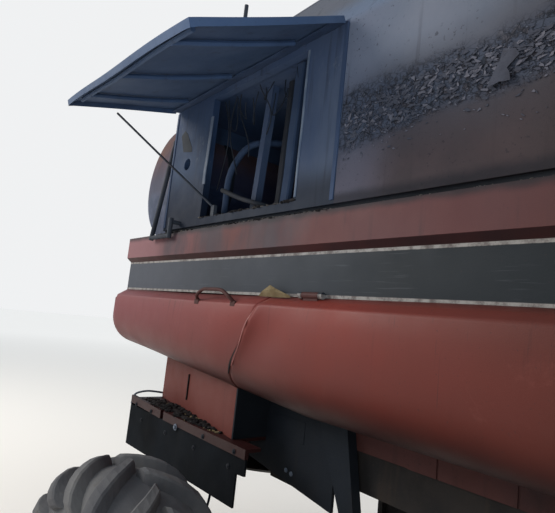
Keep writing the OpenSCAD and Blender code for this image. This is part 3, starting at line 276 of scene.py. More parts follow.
def turned_mesh(outline, sides=24):
    """Outline of (radius, height) points turned about Z, with both ends closed by one face."""
    outline = np.asarray(outline, float)
    angle = np.linspace(0, 2 * np.pi, sides, endpoint=False)
    ring = np.stack([np.cos(angle), np.sin(angle)], -1)
    round_part = outline[:, None, :1] * ring[None]
    heights = np.broadcast_to(outline[:, None, 1:], round_part.shape[:2] + (1,))
    points = np.concatenate([round_part, heights], -1)
    faces = grid_faces(len(outline), sides, wrap=True).tolist()
    last = (len(outline) - 1) * sides
    faces += [list(range(sides))[::-1], list(range(last, last + sides))]
    return points.reshape(-1, 3), faces


def joined(parts):
    """Several (points, faces) as one."""
    points, faces, count = [], [], 0
    for p, f in parts:
        points.append(np.asarray(p, float).reshape(-1, 3))
        faces += [[int(i) + count for i in face] for face in f]
        count += len(points[-1])
    return np.concatenate(points), faces


def copies(shape, places, turns):
    """One small shape at many places: each copy's points are turn times the shape's, plus its place."""
    points, faces = shape
    points, faces = np.asarray(points, float), list(faces)
    places, turns = np.asarray(places, float), np.asarray(turns, float)
    moved = np.einsum("kij,nj->kni", turns, points) + places[:, None]
    shifts = np.arange(len(places)) * len(points)
    return moved.reshape(-1, 3), [[int(i) + int(s) for i in f] for s in shifts for f in faces]


def facing(normals, spins=0.0):
    """Turn matrices that bring Z to each normal, spun about it."""
    normals = np.atleast_2d(np.asarray(normals, float))
    normals = normals / np.linalg.norm(normals, axis=1)[:, None]
    helper = np.where(np.abs(normals[:, 2:]) < 0.9, [[0.0, 0.0, 1.0]], [[1.0, 0.0, 0.0]])
    side = np.cross(helper, normals)
    side /= np.linalg.norm(side, axis=1)[:, None]
    top = np.cross(normals, side)
    c, s = np.cos(spins), np.sin(spins)
    c, s = np.broadcast_to(c, len(normals))[:, None], np.broadcast_to(s, len(normals))[:, None]
    return np.stack([side * c + top * s, top * c - side * s, normals], -1)


def bolt_mesh(radius):
    """Hexagon head on a round washer."""
    washer = turned_mesh([(radius * 1.7, -0.001), (radius * 1.7, radius * 0.25),
                          (radius * 1.1, radius * 0.3)], 10)
    head = turned_mesh([(radius, 0.0), (radius, radius * 0.75), (radius * 0.8, radius * 0.95)], 6)
    return joined([washer, head])


def bolts(name, places, normal, radius, material, slot, body="root"):
    """A row of bolt heads that face one way."""
    places = np.asarray(places, float)
    spin_step = 0.37
    spins = np.arange(len(places)) * spin_step
    normals = np.broadcast_to(np.asarray(normal, float), places.shape)
    points, faces = copies(bolt_mesh(radius), places, facing(normals, spins))
    return put_piece(name, points, faces, material, slot, body)


# Finishes, each grown as one node tree on Object coordinates
class Finish:
    """One material's node tree, with short calls for the nodes it strings together."""

    def __init__(self, name, roughness=0.6, metallic=0.0, specular=0.22):
        self.material = bpy.data.materials.new(name)
        self.material.use_nodes = True
        self.tree = self.material.node_tree
        self.shader = self.tree.nodes["Principled BSDF"]
        self.shader.inputs["Roughness"].default_value = roughness
        self.shader.inputs["Metallic"].default_value = metallic
        self.shader.inputs["Specular IOR Level"].default_value = specular
        self.coords = self.tree.nodes.new("ShaderNodeTexCoord").outputs["Object"]
        split = self.tree.nodes.new("ShaderNodeSeparateXYZ")
        self.link(self.coords, split.inputs[0])
        self.x, self.y, self.z = split.outputs

    def link(self, a, b):
        """Joins an output to an input."""
        self.tree.links.new(a, b)

    def put(self, socket, value):
        """Links a socket to an input, or writes a value there."""
        if isinstance(value, bpy.types.NodeSocket):
            self.link(value, socket)
        else:
            socket.default_value = value

    def stretched(self, stretch, offset):
        """Object coordinates, scaled and shifted."""
        n = self.tree.nodes.new("ShaderNodeMapping")
        n.inputs["Scale"].default_value = stretch
        n.inputs["Location"].default_value = offset
        self.link(self.coords, n.inputs["Vector"])
        return n.outputs[0]

    def noise(self, size, detail=4.0, rough=0.55, stretch=(1, 1, 1), offset=(0, 0, 0), twist=0.0):
        """Cloudy noise whose blots are about size metres across, from 0 to 1 round one half."""
        n = self.tree.nodes.new("ShaderNodeTexNoise")
        n.inputs["Scale"].default_value = 1.0 / size
        n.inputs["Detail"].default_value = detail
        n.inputs["Roughness"].default_value = rough
        n.inputs["Distortion"].default_value = twist
        self.link(self.stretched(stretch, offset), n.inputs["Vector"])
        return n.outputs["Fac"]

    def cells(self, size, feature="DISTANCE_TO_EDGE", stretch=(1, 1, 1), offset=(0, 0, 0)):
        """Cells about size metres across: distance to the nearest crack, or to the cell's middle."""
        n = self.tree.nodes.new("ShaderNodeTexVoronoi")
        n.feature = feature
        n.inputs["Scale"].default_value = 1.0 / size
        self.link(self.stretched(stretch, offset), n.inputs["Vector"])
        return n.outputs["Distance"]

    def ramp(self, value, low, high):
        """0 at low to 1 at high, smooth between; low may be above high."""
        n = self.tree.nodes.new("ShaderNodeMapRange")
        n.interpolation_type = "SMOOTHSTEP"
        n.inputs["From Min"].default_value = low
        n.inputs["From Max"].default_value = high
        self.link(value, n.inputs["Value"])
        return n.outputs["Result"]

    def maths(self, operation, a, b):
        """One sum of two numbers or sockets."""
        n = self.tree.nodes.new("ShaderNodeMath")
        n.operation = operation
        self.put(n.inputs[0], a)
        self.put(n.inputs[1], b)
        return n.outputs[0]

    def times(self, a, b):
        """Product of two numbers or sockets."""
        return self.maths("MULTIPLY", a, b)

    def band(self, value, low, high, soft):
        """1 between low and high, 0 outside, over a soft edge."""
        return self.times(self.ramp(value, low - soft, low + soft),
                          self.ramp(value, high + soft, high - soft))

    def wobbled(self, value, size, amount):
        """A coordinate shifted by noise, for edges that aren't drawn with a ruler."""
        shift = self.times(self.maths("SUBTRACT", self.noise(size, 3), 0.5), amount)
        return self.maths("ADD", value, shift)

    def along(self, size, amount, start, end):
        """0 to 1 between two places behind the front axle, with a wavering edge."""
        return self.ramp(self.wobbled(self.y, size, amount), rearward(start), rearward(end))

    def upwards(self, size, amount, start, end):
        """0 to 1 between two heights, with a wavering edge."""
        return self.ramp(self.wobbled(self.z, size, amount), start, end)

    def mix(self, fac, a, b):
        """Colour a at 0 to colour b at 1; a colour is a socket or an 8-bit screen colour."""
        n = self.tree.nodes.new("ShaderNodeMix")
        n.data_type = "RGBA"
        self.put(n.inputs[0], fac)
        self.put(n.inputs[6], srgb(*a) if isinstance(a, tuple) else a)
        self.put(n.inputs[7], srgb(*b) if isinstance(b, tuple) else b)
        return n.outputs[2]

    def laid(self, under, mask, share, colour):
        """A colour over another where the mask is 1, up to its share."""
        return self.mix(self.times(mask, share), under, colour)

    def clouds(self, a, b, size, detail=5, low=0.35, high=0.65):
        """Two colours in soft blots of about one size."""
        return self.mix(self.ramp(self.noise(size, detail), low, high), a, b)

    def colour(self, c):
        """Takes a colour socket as the base colour."""
        self.link(c, self.shader.inputs["Base Color"])

    def rough(self, value, low, high):
        """Roughness from low to high, by a pattern from 0 to 1."""
        n = self.tree.nodes.new("ShaderNodeMapRange")
        n.inputs["To Min"].default_value = low
        n.inputs["To Max"].default_value = high
        self.link(value, n.inputs["Value"])
        self.link(n.outputs["Result"], self.shader.inputs["Roughness"])

    def bump(self, height, depth, strength=1.0, under=None):
        """Relief of about depth metres, laid over an earlier relief."""
        n = self.tree.nodes.new("ShaderNodeBump")
        n.inputs["Distance"].default_value = depth
        n.inputs["Strength"].default_value = strength
        self.link(height, n.inputs["Height"])
        if under is not None:
            self.link(under, n.inputs["Normal"])
        self.link(n.outputs["Normal"], self.shader.inputs["Normal"])
        return n.outputs["Normal"]


def weathered(name, base, light, dark, dirt, roughness=0.6, metallic=0.0, soot=0.5, blot=0.6, grain=0.012,
              specular=0.18):
    """Paint or metal: cloudy from base to light, dark smoke blots, dirt in upright streaks, fine grain."""
    f = Finish(name, roughness, metallic, specular)
    colour = f.mix(f.ramp(f.noise(blot, 5), 0.35, 0.68), base, light)
    smoke = f.ramp(f.noise(blot * 1.7, 6, 0.6, offset=(3, 1, 5)), 1.0 - soot, 1.25 - soot)
    colour = f.mix(smoke, colour, dark)
    streaks = f.ramp(f.noise(0.05, 3, 0.5, (1, 1, 0.07)), 0.56, 0.8)
    colour = f.laid(colour, streaks, 0.45, dirt)
    speck = f.ramp(f.noise(grain, 2), 0.62, 0.78)
    colour = f.laid(colour, speck, 0.35, dirt)
    f.colour(colour)
    f.rough(f.noise(0.09, 4), roughness - 0.12, roughness + 0.16)
    f.bump(f.noise(grain * 0.6, 3), 0.0012, 0.5)
    return f.material


def hood_red():
    """Sun-faded red: pinker at the tail as a painted sheen, browner and darker forwards as painted shade,
    painted shade lower down and under the roll, scratched and streaked.
    """
    f = Finish("red_paint", 0.5, specular=0.2)
    cloudy = f.ramp(f.noise(0.7, 5), 0.35, 0.66)
    colour = f.mix(cloudy, (127, 52, 43), (119, 55, 49))
    # Painted sheen: pinker towards the tail, standing for sky reflected in the paint.
    tail_sheen = f.along(0.9, 0.8, 3.1, 4.9)
    colour = f.laid(colour, tail_sheen, 0.85, (120, 66, 69))
    # Painted shade: darker and browner towards the front.
    fore_shade = f.along(0.9, 0.9, 3.1, 1.9)
    colour = f.laid(colour, fore_shade, 0.75, (88, 42, 34))
    chalky = f.ramp(f.noise(0.16, 6, 0.7, twist=0.4), 0.58, 0.75)
    colour = f.laid(colour, chalky, 0.3, (142, 82, 74))
    runs = f.ramp(f.noise(0.028, 3, 0.5, (1, 1, 0.05)), 0.58, 0.74)
    runs = f.times(runs, f.ramp(f.noise(0.5, 3, offset=(4, 2, 1)), 0.42, 0.62))
    colour = f.laid(colour, runs, 0.5, (66, 32, 30))
    scratches = f.ramp(f.noise(0.006, 1, 0.4, (1, 1, 0.018), (2, 7, 1)), 0.7, 0.76)
    scratches = f.times(scratches, f.ramp(f.noise(0.4, 2, offset=(8, 1, 6)), 0.5, 0.6))
    colour = f.laid(colour, scratches, 0.6, (70, 40, 40))
    shaded = f.times(f.along(0.6, 0.5, 2.9, 2.0), f.upwards(0.4, 0.1, 1.72, 1.9))
    colour = f.laid(colour, shaded, 0.6, (78, 42, 36))
    # Painted shade: darker lower down the side.
    shade_below = f.upwards(0.5, 0.12, 1.9, 1.5)
    colour = f.laid(colour, shade_below, 0.65, (58, 25, 20))
    # Painted shade under the roll, where the side turns under.
    rolled = f.upwards(0.3, 0.05, 1.64, 1.50)
    colour = f.laid(colour, rolled, 0.85, (34, 16, 17))
    speck = f.ramp(f.noise(0.009, 2), 0.66, 0.74)
    colour = f.laid(colour, speck, 0.45, (64, 40, 38))
    f.colour(colour)
    f.rough(f.noise(0.12, 5), 0.34, 0.62)
    waves = f.bump(f.noise(0.55, 2), 0.012, 0.35)
    f.bump(f.noise(0.004, 2), 0.0006, 0.4, waves)
    return f.material


def side_band():
    """Red band over the black stripe between two white lines, by height, smoked below the engine bay; painted
    sheen makes red and black paler towards the tail, painted shade darkens them forwards, on the chamfer
    under the red and under the deck's edge.
    """
    band_low_z, bevel_low_z, line_z, low_line_z = 2.155, 2.130, 2.119, 1.962
    f = Finish("side_band", 0.5, specular=0.2)
    cloudy = f.ramp(f.noise(0.8, 5), 0.35, 0.66)
    red = f.mix(cloudy, (92, 47, 44), (88, 54, 55))
    # Painted sheen: paler and pinker towards the tail, standing for sky reflected in the paint.
    tail_sheen = f.along(0.6, 0.5, 3.7, 4.9)
    red = f.laid(red, tail_sheen, 0.8, (138, 96, 100))
    under_bay = f.times(f.along(0.5, 0.9, 2.9, 3.3), f.along(0.4, 0.5, 4.6, 4.3))
    smoke = f.times(under_bay, f.ramp(f.noise(0.35, 6, 0.6, (1, 1, 0.5)), 0.32, 0.6))
    red = f.laid(red, smoke, 0.85, (58, 50, 57))
    runs = f.ramp(f.noise(0.035, 4, 0.5, (1, 1, 0.08)), 0.55, 0.72)
    runs = f.times(runs, f.ramp(f.noise(0.5, 3, offset=(1, 6, 2)), 0.4, 0.62))
    red = f.laid(red, runs, 0.45, (58, 42, 45))
    # Painted shade: darker towards the front.
    fore_shade = f.along(0.5, 0.4, 2.6, 2.0)
    red = f.laid(red, fore_shade, 0.6, (66, 50, 49))
    # Soot and painted shade: a dark line along the top of the band, under the deck's edge.
    soot_and_deck_shade = f.upwards(0.12, 0.03, 2.252, 2.284)
    red = f.laid(red, soot_and_deck_shade, 0.85, (32, 30, 35))
    # Painted shade: the chamfer under the red band faces down and is painted darker red.
    bevel_shade = f.clouds((66, 32, 32), (46, 28, 30), 0.3, 4, 0.3, 0.7)
    black = f.clouds((28, 34, 39), (40, 46, 53), 0.9, 6, 0.3, 0.7)
    # Painted sheen: the black stripe greys towards the tail, standing for sky reflected in it; painted shade
    # darkens it towards the front.
    tail_sheen_grey = f.along(0.9, 1.0, 3.0, 4.9)
    black = f.laid(black, tail_sheen_grey, 0.72, (78, 81, 90))
    fore_shade_black = f.along(0.7, 0.8, 2.7, 1.6)
    black = f.laid(black, fore_shade_black, 0.75, (22, 26, 29))
    hairlines = f.ramp(f.noise(0.01, 2, 0.5, (1, 0.05, 1)), 0.6, 0.75)
    black = f.laid(black, hairlines, 0.25, (82, 86, 92))
    worn = f.ramp(f.noise(0.04, 5, 0.7), 0.34, 0.6)
    white = f.mix(worn, (92, 84, 82), (148, 144, 140))
    height = f.wobbled(f.z, 0.02, 0.002)
    colour = f.mix(f.ramp(height, low_line_z - 0.0015, low_line_z + 0.0015), white, black)
    colour = f.mix(f.ramp(height, line_z - 0.0015, line_z + 0.0015), colour, white)
    colour = f.mix(f.ramp(height, bevel_low_z - 0.001, bevel_low_z + 0.001), colour, bevel_shade)
    colour = f.mix(f.ramp(height, band_low_z - 0.002, band_low_z + 0.001), colour, red)
    speck = f.ramp(f.noise(0.01, 2), 0.66, 0.76)
    colour = f.laid(colour, speck, 0.4, (52, 42, 44))
    f.colour(colour)
    f.rough(f.noise(0.1, 5), 0.4, 0.66)
    waves = f.bump(f.noise(0.6, 2), 0.01, 0.3)
    f.bump(f.noise(0.004, 2), 0.0006, 0.4, waves)
    return f.material


def scorched_panel():
    """Tank burnt through its paint: ash grey above, a ragged band of crust, mauve brown below, darker
    forwards as painted shade, bluish on the right side's leaning upper wall as painted shade, darker at its
    foot; rusted inside, where a point lies further in than the wall's outer face, whose upper part leans in."""
    side_lean, end_lean = 0.574, 0.43
    f = Finish("burnt_paint", 0.7, specular=0.14)
    height = f.wobbled(f.z, 0.45, 0.16)
    ash = f.clouds((92, 100, 114), (108, 112, 124), 0.5)
    mauve = f.clouds((56, 56, 63), (68, 66, 73), 0.6)
    reddish = f.clouds((62, 55, 58), (76, 64, 66), 0.4)
    colour = f.mix(f.ramp(height, 2.62, 2.38), mauve, reddish)
    colour = f.mix(f.ramp(height, 2.70, 2.90), colour, ash)
    rearmost = f.along(0.4, 0.3, 2.75, 3.05)
    colour = f.laid(colour, rearmost, 0.45, (88, 94, 112))
    # Painted shade: darker towards the front.
    fore_shade = f.along(0.9, 0.8, 2.75, 1.9)
    colour = f.laid(colour, fore_shade, 0.7, (52, 46, 47))
    # Painted shade: the wall above the fold leans in; on the right side it is painted bluish, as it looks in
    # shade under the sky; greyer on the left and higher up.
    folded = f.upwards(0.2, 0.02, 3.05, 3.10)
    greyer = f.maths("MAXIMUM", f.ramp(f.x, -0.9, -0.4), f.upwards(0.4, 0.08, 3.16, 3.32))
    colour = f.mix(f.times(folded, 0.7), colour, f.mix(greyer, (96, 109, 130), (90, 91, 97)))
    # Darker towards the foot of the wall, beside the recess above the deck.
    dark_foot = f.upwards(0.12, 0.04, 2.37, 2.33)
    colour = f.laid(colour, dark_foot, 0.75, (34, 34, 40))
    sunk = f.times(f.along(0.3, 0.3, 2.55, 3.0), 0.07)
    crust_zone = f.band(f.maths("ADD", height, f.times(sunk, f.ramp(height, 2.7, 2.55))), 2.585, 2.77, 0.035)
    crust = f.times(crust_zone, f.ramp(f.noise(0.03, 6, 0.75), 0.38, 0.52))
    colour = f.laid(colour, crust, 0.8, (62, 69, 84))
    cracks = f.times(crust_zone, f.ramp(f.cells(0.035, stretch=(1, 1, 1.5)), 0.07, 0.02))
    colour = f.laid(colour, cracks, 0.8, (32, 36, 44))
    chips = f.times(crust_zone, f.ramp(f.cells(0.022, "F1", (1, 1, 1.6)), 0.3, 0.14))
    chips = f.times(chips, f.ramp(f.noise(0.09, 3, offset=(1, 5, 2)), 0.5, 0.6))
    colour = f.laid(colour, chips, 0.7, (104, 108, 120))
    pits = f.ramp(f.noise(0.016, 4, 0.65, offset=(6, 2, 9)), 0.60, 0.66)
    pits = f.times(pits, f.ramp(f.noise(0.22, 3, offset=(2, 9, 4)), 0.46, 0.6))
    colour = f.laid(colour, pits, 0.6, (36, 36, 42))
    runs = f.ramp(f.noise(0.04, 3, 0.5, (1, 1, 0.05)), 0.58, 0.76)
    colour = f.laid(colour, runs, 0.35, (44, 38, 40))
    above = f.maths("MAXIMUM", f.maths("SUBTRACT", f.z, fold_z), 0.0)
    width = f.maths("ADD", f.maths("ABSOLUTE", f.x, 0.0), f.times(above, side_lean))
    outer = f.ramp(width, stripe_x - 0.022, stripe_x - 0.012)
    ahead = f.ramp(f.maths("SUBTRACT", f.y, f.times(above, end_lean)), rearward(0.41), rearward(0.395))
    astern = f.ramp(f.maths("ADD", f.y, f.times(above, end_lean)), rearward(3.06), rearward(3.075))
    outer = f.maths("MAXIMUM", outer, f.maths("MAXIMUM", ahead, astern))
    rusted = f.clouds((50, 40, 38), (74, 54, 46), 0.25)
    colour = f.mix(outer, rusted, colour)
    f.colour(colour)
    f.rough(f.noise(0.08, 5), 0.55, 0.85)
    waves = f.bump(f.noise(0.5, 2), 0.014, 0.35)
    lifted = f.maths("SUBTRACT", chips, crust)
    flaked = f.bump(lifted, 0.006, 0.9, waves)
    f.bump(f.noise(0.006, 3), 0.0012, 0.5, flaked)
    return f.material


def scorched_tank():
    """Fuel tank skin by height: rusty brown on top, lighter there as painted sunlight; purple grey round the
    middle; bluish and darker below as painted shade, streaked along the tank with painted reflections.
    """
    middle_z = (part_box("fuel_tank")[1].z + deck_z + 0.01) / 2
    f = Finish("burnt_tank", 0.5, 0.1, 0.25)
    height = f.wobbled(f.z, 0.3, 0.12)
    # Painted sunlight: the rusty top is lighter, as if lit by the sun.
    sunlit_rust = f.mix(f.ramp(f.noise(0.12, 6, 0.65), 0.35, 0.65), (92, 66, 60), (84, 68, 74))
    purple = f.clouds((50, 50, 68), (62, 60, 78), 0.2)
    # Painted shade and reflection: bluish and darker below, with streaks along the tank for reflected light.
    shade_and_reflections = f.mix(f.ramp(f.noise(0.06, 5, 0.6, (0.4, 1, 1)), 0.4, 0.65), (44, 52, 74), (66, 72, 94))
    colour = f.mix(f.ramp(height, middle_z + 0.02, middle_z + 0.24), purple, sunlit_rust)
    colour = f.mix(f.ramp(height, middle_z - 0.02, middle_z - 0.1), colour, shade_and_reflections)
    pits = f.ramp(f.noise(0.014, 3, 0.6), 0.62, 0.72)
    colour = f.laid(colour, pits, 0.5, (58, 48, 50))
    runs = f.ramp(f.noise(0.03, 3, 0.5, (1, 1, 0.1)), 0.6, 0.76)
    colour = f.laid(colour, runs, 0.4, (52, 46, 54))
    f.colour(colour)
    f.rough(f.ramp(height, middle_z - 0.1, middle_z + 0.2), 0.42, 0.8)
    f.bump(f.noise(0.03, 4), 0.002, 0.4)
    return f.material


def bay_walls():
    """Sides of the engine bay: dark blue painted shade behind the opening, greyer steel ahead of it, paler
    and bluer at the top as painted sky light, darker low down as painted shade.
    """
    f = Finish("bay_steel", 0.68, specular=0.16)
    navy_shade = f.clouds((38, 53, 76), (52, 68, 92), 0.4)
    grey = f.mix(f.ramp(f.noise(0.3, 5, 0.6, (1, 1, 0.4)), 0.35, 0.65), (62, 73, 94), (74, 83, 100))
    # Painted shade: dark blue where the wall lies behind the opening.
    behind = f.along(0.3, 0.06, 3.9, 4.02)
    colour = f.mix(behind, grey, navy_shade)
    # Painted light: paler and bluer at the top, as lit by the sky.
    colour = f.laid(colour, f.upwards(0.4, 0.3, 2.75, 2.98), 0.5, (58, 72, 98))
    runs = f.ramp(f.noise(0.035, 4, 0.55, (1, 1, 0.06)), 0.55, 0.75)
    colour = f.laid(colour, runs, 0.5, (34, 36, 46))
    pale = f.times(f.ramp(f.noise(0.02, 5, 0.7, (1, 1, 0.5)), 0.55, 0.68),
                   f.ramp(f.noise(0.3, 3, offset=(3, 3, 1)), 0.45, 0.6))
    colour = f.laid(colour, pale, 0.4, (92, 98, 108))
    # Painted shade: darker low down.
    low = f.upwards(0.25, 0.06, 2.52, 2.38)
    colour = f.laid(colour, low, 0.8, (28, 32, 40))
    # Painted shade: darkest low down behind the opening.
    sunk = f.times(behind, f.upwards(0.3, 0.15, 2.75, 2.45))
    colour = f.laid(colour, sunk, 0.8, (18, 26, 42))
    f.colour(colour)
    f.rough(f.noise(0.09, 4), 0.55, 0.82)
    waves = f.bump(f.noise(0.4, 2), 0.008, 0.3)
    f.bump(f.noise(0.006, 3), 0.001, 0.5, waves)
    return f.material


def clear_glass():
    """Cab glass with a film of dust in soft patches."""
    f = Finish("cab_glass", 0.08)
    f.shader.inputs["Transmission Weight"].default_value = 1.0
    f.shader.inputs["IOR"].default_value = 1.45
    dust = f.ramp(f.noise(0.25, 5), 0.3, 0.8)
    f.colour(f.mix(dust, (196, 208, 208), (150, 156, 152)))
    f.rough(f.noise(0.12, 4), 0.04, 0.3)
    f.bump(f.noise(0.02, 3), 0.0004, 0.3)
    return f.material


red_paint = hood_red()
band_paint = side_band()
dark_red_paint = weathered("dark_red_paint", (66, 36, 32), (76, 46, 44), (38, 28, 30), (30, 23, 24),
                           0.62, soot=0.45)
burnt_paint = scorched_panel()
black_paint = weathered("black_paint", (27, 31, 37), (36, 41, 48), (20, 24, 29), (38, 37, 38),
                        0.6, soot=0.45, specular=0.1)
# Sooty steel, lighter and bluer as painted sky light in shade.
soot_steel = weathered("soot_steel", (48, 61, 84), (62, 75, 99), (34, 45, 65), (50, 46, 48),
                       0.68, soot=0.45)
bare_steel = weathered("bare_steel", (120, 116, 112), (150, 146, 140), (84, 66, 56), (92, 62, 46),
                       0.45, 0.7, soot=0.45, blot=0.2)
rusty_iron = weathered("rusty_iron", (84, 58, 46), (104, 74, 58), (48, 38, 38), (46, 36, 34),
                       0.8, soot=0.45, blot=0.3)
# Painted shade: dark blue for the door's shaded underside, on sooty steel.
door_shade_steel = weathered("door_shade_steel", (62, 80, 108), (76, 92, 118), (38, 48, 68), (50, 46, 50),
                       0.7, soot=0.48, blot=0.5)
tank_skin = scorched_tank()
rubber_sheet = weathered("black_rubber", (15, 18, 22), (22, 26, 31), (10, 12, 15), (28, 28, 29),
                         0.8, soot=0.5, blot=0.3, specular=0.06)
tyre_rubber = weathered("tyre_rubber", (84, 84, 87), (108, 107, 107), (62, 62, 65), (104, 98, 90),
                        0.85, soot=0.45, blot=0.2)
rim_paint = weathered("rim_paint", (170, 162, 150), (186, 180, 168), (116, 100, 86), (104, 76, 58),
                      0.55, soot=0.42, blot=0.25)
cab_plastic = weathered("cab_plastic", (42, 42, 44), (62, 62, 64), (26, 26, 28), (70, 64, 58),
                        0.7, soot=0.5, blot=0.2)
lamp_plastic = weathered("lamp_plastic", (178, 170, 150), (200, 194, 178), (110, 100, 88),
                         (80, 70, 60), 0.3, soot=0.4, blot=0.1)
window_glass = clear_glass()

FINISHES = {
    "red_paint": red_paint, "dark_red_paint": dark_red_paint, "burnt_paint": burnt_paint,
    "black_paint": black_paint, "soot_steel": soot_steel, "bare_steel": bare_steel,
    "rusty_iron": rusty_iron, "burnt_tank": tank_skin, "black_rubber": rubber_sheet,
    "tyre_rubber": tyre_rubber, "rim_paint": rim_paint, "cab_glass": window_glass,
    "cab_plastic": cab_plastic, "lamp_plastic": lamp_plastic,
}
grimy_iron = weathered("grimy_iron", (32, 31, 32), (46, 42, 40), (19, 19, 21), (60, 50, 42),
                       0.8, soot=0.45, blot=0.25)
bay_steel = bay_walls()
# Burnt steel in the bay, dark blue as painted shade.
charred_navy_shade = weathered("charred_bay_navy_shade", (42, 54, 74), (54, 66, 86), (28, 37, 54), (50, 44, 44),
                    0.8, soot=0.45, blot=0.25)
sooty_deck = weathered("sooty_deck", (34, 36, 41), (50, 52, 57), (20, 22, 26), (52, 45, 41),
                       0.85, soot=0.45, blot=0.35)
rail_steel = weathered("rail_steel", (46, 50, 58), (62, 66, 74), (28, 31, 38), (62, 48, 42),
                       0.7, soot=0.45, blot=0.2)
chute_red = weathered("chute_red", (94, 44, 37), (102, 54, 48), (56, 36, 36), (48, 32, 32),
                      0.6, soot=0.42)
NODE_FINISHES = {
    "discharge_chute": chute_red, "deck": sooty_deck, "operator_platform": rail_steel, "ladders": rail_steel,
    "handrails": rail_steel, "mirrors": black_paint, "radiator": grimy_iron, "engine_roof": bay_steel,
    "engine_bay": bay_steel, "fascia_right": band_paint, "fascia_left": band_paint,
    "chassis_frame": grimy_iron,
    "cleaning_shoe": grimy_iron, "front_axle": grimy_iron, "rear_axle": grimy_iron,
}


def finish_nodes():
    """Every CAD node gets the finish of its material slot, or its own."""
    for part in frame["record"]["subparts"]:
        node = part["node"]
        materials = frame["nodes"][node].data.materials
        materials.clear()
        materials.append(NODE_FINISHES.get(node) or FINISHES[part["material_slot"]])


finish_nodes()


# Lower sides: the section runs from the stripe over a crease and the bulge, rolls under, and ends in a lip
shield_top_z, shield_low_z, tail_low_z = 1.945, 1.495, 1.61
bulge_z = shield_top_z - 0.145
joint_gap, bent_back = 0.008, 0.02
shield_x, crease_x, lip_x, roll_r = 1.318, 1.310, 1.03, 0.18
rise_y, tail_y, shield_front_y = 3.18, 4.95, 0.96
joint_top_y, joint_run = 3.4, 0.25
hinge_x, hinge_z, hinge_r = 1.264, 1.957, 0.013


def side_section(low):
    """Half widths and heights of the section above one lower edge: straight strips, then a quarter circle."""
    chamfer = [(stripe_x, shield_top_z), (stripe_x + 0.03, shield_top_z - 0.02),
               (crease_x - 0.004, shield_top_z - 0.037), (crease_x, shield_top_z - 0.041),
               (crease_x + 0.002, shield_top_z - 0.048)]
    bulge = [(shield_x - 0.001, bulge_z + 0.04), (shield_x, bulge_z)]
    upright = [(shield_x, bulge_z + (low + roll_r - bulge_z) * k) for k in (0.25, 0.5, 0.75)]
    angle = np.radians(np.linspace(0, 90, 17))
    roll = np.stack([shield_x - roll_r + roll_r * np.cos(angle), low + roll_r - roll_r * np.sin(angle)], -1)
    under = [(lip_x + 0.07, low), (lip_x + 0.035, low), (lip_x, low), (lip_x, low + 0.014)]
    return np.concatenate([chamfer, bulge, upright, roll, under])


fore_section, aft_section = side_section(shield_low_z), side_section(tail_low_z)


def joint_y(gap):
    """Where each strip of the section, straight from its fore to its aft end, meets the joint plus a gap."""
    slope = joint_run / (shield_top_z - shield_low_z)
    fore = rise_y - joint_top_y - slope * (shield_top_z - fore_section[:, 1]) - gap
    aft = tail_y - joint_top_y - slope * (shield_top_z - aft_section[:, 1]) - gap
    return rise_y + (tail_y - rise_y) * fore / (fore - aft)


def side_surface(start, end, rows):
    """Grid over the lower side between two lines across it: each strip runs straight, then rises aft."""
    start, end = np.broadcast_to(start, len(fore_section)), np.broadcast_to(end, len(fore_section))
    u = np.linspace(0, 1, rows)[:, None]
    y = start + (end - start) * u
    rise = np.clip((y - rise_y) / (tail_y - rise_y), 0, 1)[..., None]
    outline = fore_section + (aft_section - fore_section) * rise
    return np.stack([outline[..., 0], y, outline[..., 1]], -1)


def grid_normals(points):
    """Unit normals of a grid, square to its two directions."""
    normal = np.cross(np.gradient(points, axis=0), np.gradient(points, axis=1))
    return normal / np.maximum(np.linalg.norm(normal, axis=-1), 1e-9)[..., None]


def slow_waves(y, z, seed):
    """Sum of six slow waves over two lengths, between about -1 and 1."""
    rng = np.random.default_rng(seed)
    total = np.zeros_like(y)
    for _ in range(6):
        a, b, c = rng.uniform(0.8, 4.5), rng.uniform(1.5, 7.0), rng.uniform(0, 6.28)
        total += np.sin(a * y + b * z + c) / 3.2
    return total


def sheet_piece(name, grid, outwards, thickness, material, slot, body="root", smooth=True):
    """Sheet metal over a grid, its faces turned to the outward direction and thickened inwards."""
    faces = grid_faces(*grid.shape[:2])
    middle = grid_normals(grid)[grid.shape[0] // 2, grid.shape[1] // 2]
    if middle @ np.asarray(outwards, float) < 0:
        faces = faces[:, ::-1]
    piece = put_piece(name, grid, faces, material, slot, body, smooth, closed=False)
    return thicken(piece, thickness)


def hinge_eye(x, y, z):
    """Rolled eye of a hinge, 90 mm long, on the line that runs along the machine."""
    return [(x, rearward(y + e), z) for e in (-0.045, -0.015, 0.015, 0.045)]


def hinge_eyes(side, ys):
    """Rolled eye and strap of a shield's hinge at each place along the machine."""
    x, parts = side * hinge_x, []
    for y in ys:
        parts.append(tube_mesh(hinge_eye(x, y, hinge_z), hinge_r, 12))
        parts.append(box_mesh((x - 0.004, rearward(y - 0.04), shield_top_z - 0.024),
                              (x + 0.004, rearward(y + 0.04), hinge_z - 0.008)))
    return joined(parts)


def bent_share(z):
    """How far the right shield's rear edge is bent at each height: 1 in its middle, 0 at its top and foot."""
    top_z, foot_z = 1.925, 1.56
    return np.clip((top_z - z) / 0.1, 0, 1) * np.clip((z - foot_z) / 0.16, 0, 1)


def bent_out(z):
    """Outward shift of the fully bent edge, uneven along its height."""
    return 0.032 * (0.75 + 0.25 * np.sin(14 * z))


def round_dent(along, z, middle_z, length, height):
    """Bell-shaped dent: 1 at its middle, falling off over a length and a height."""
    return np.exp(-(along / length) ** 2) * np.exp(-((z - middle_z) / height) ** 2)


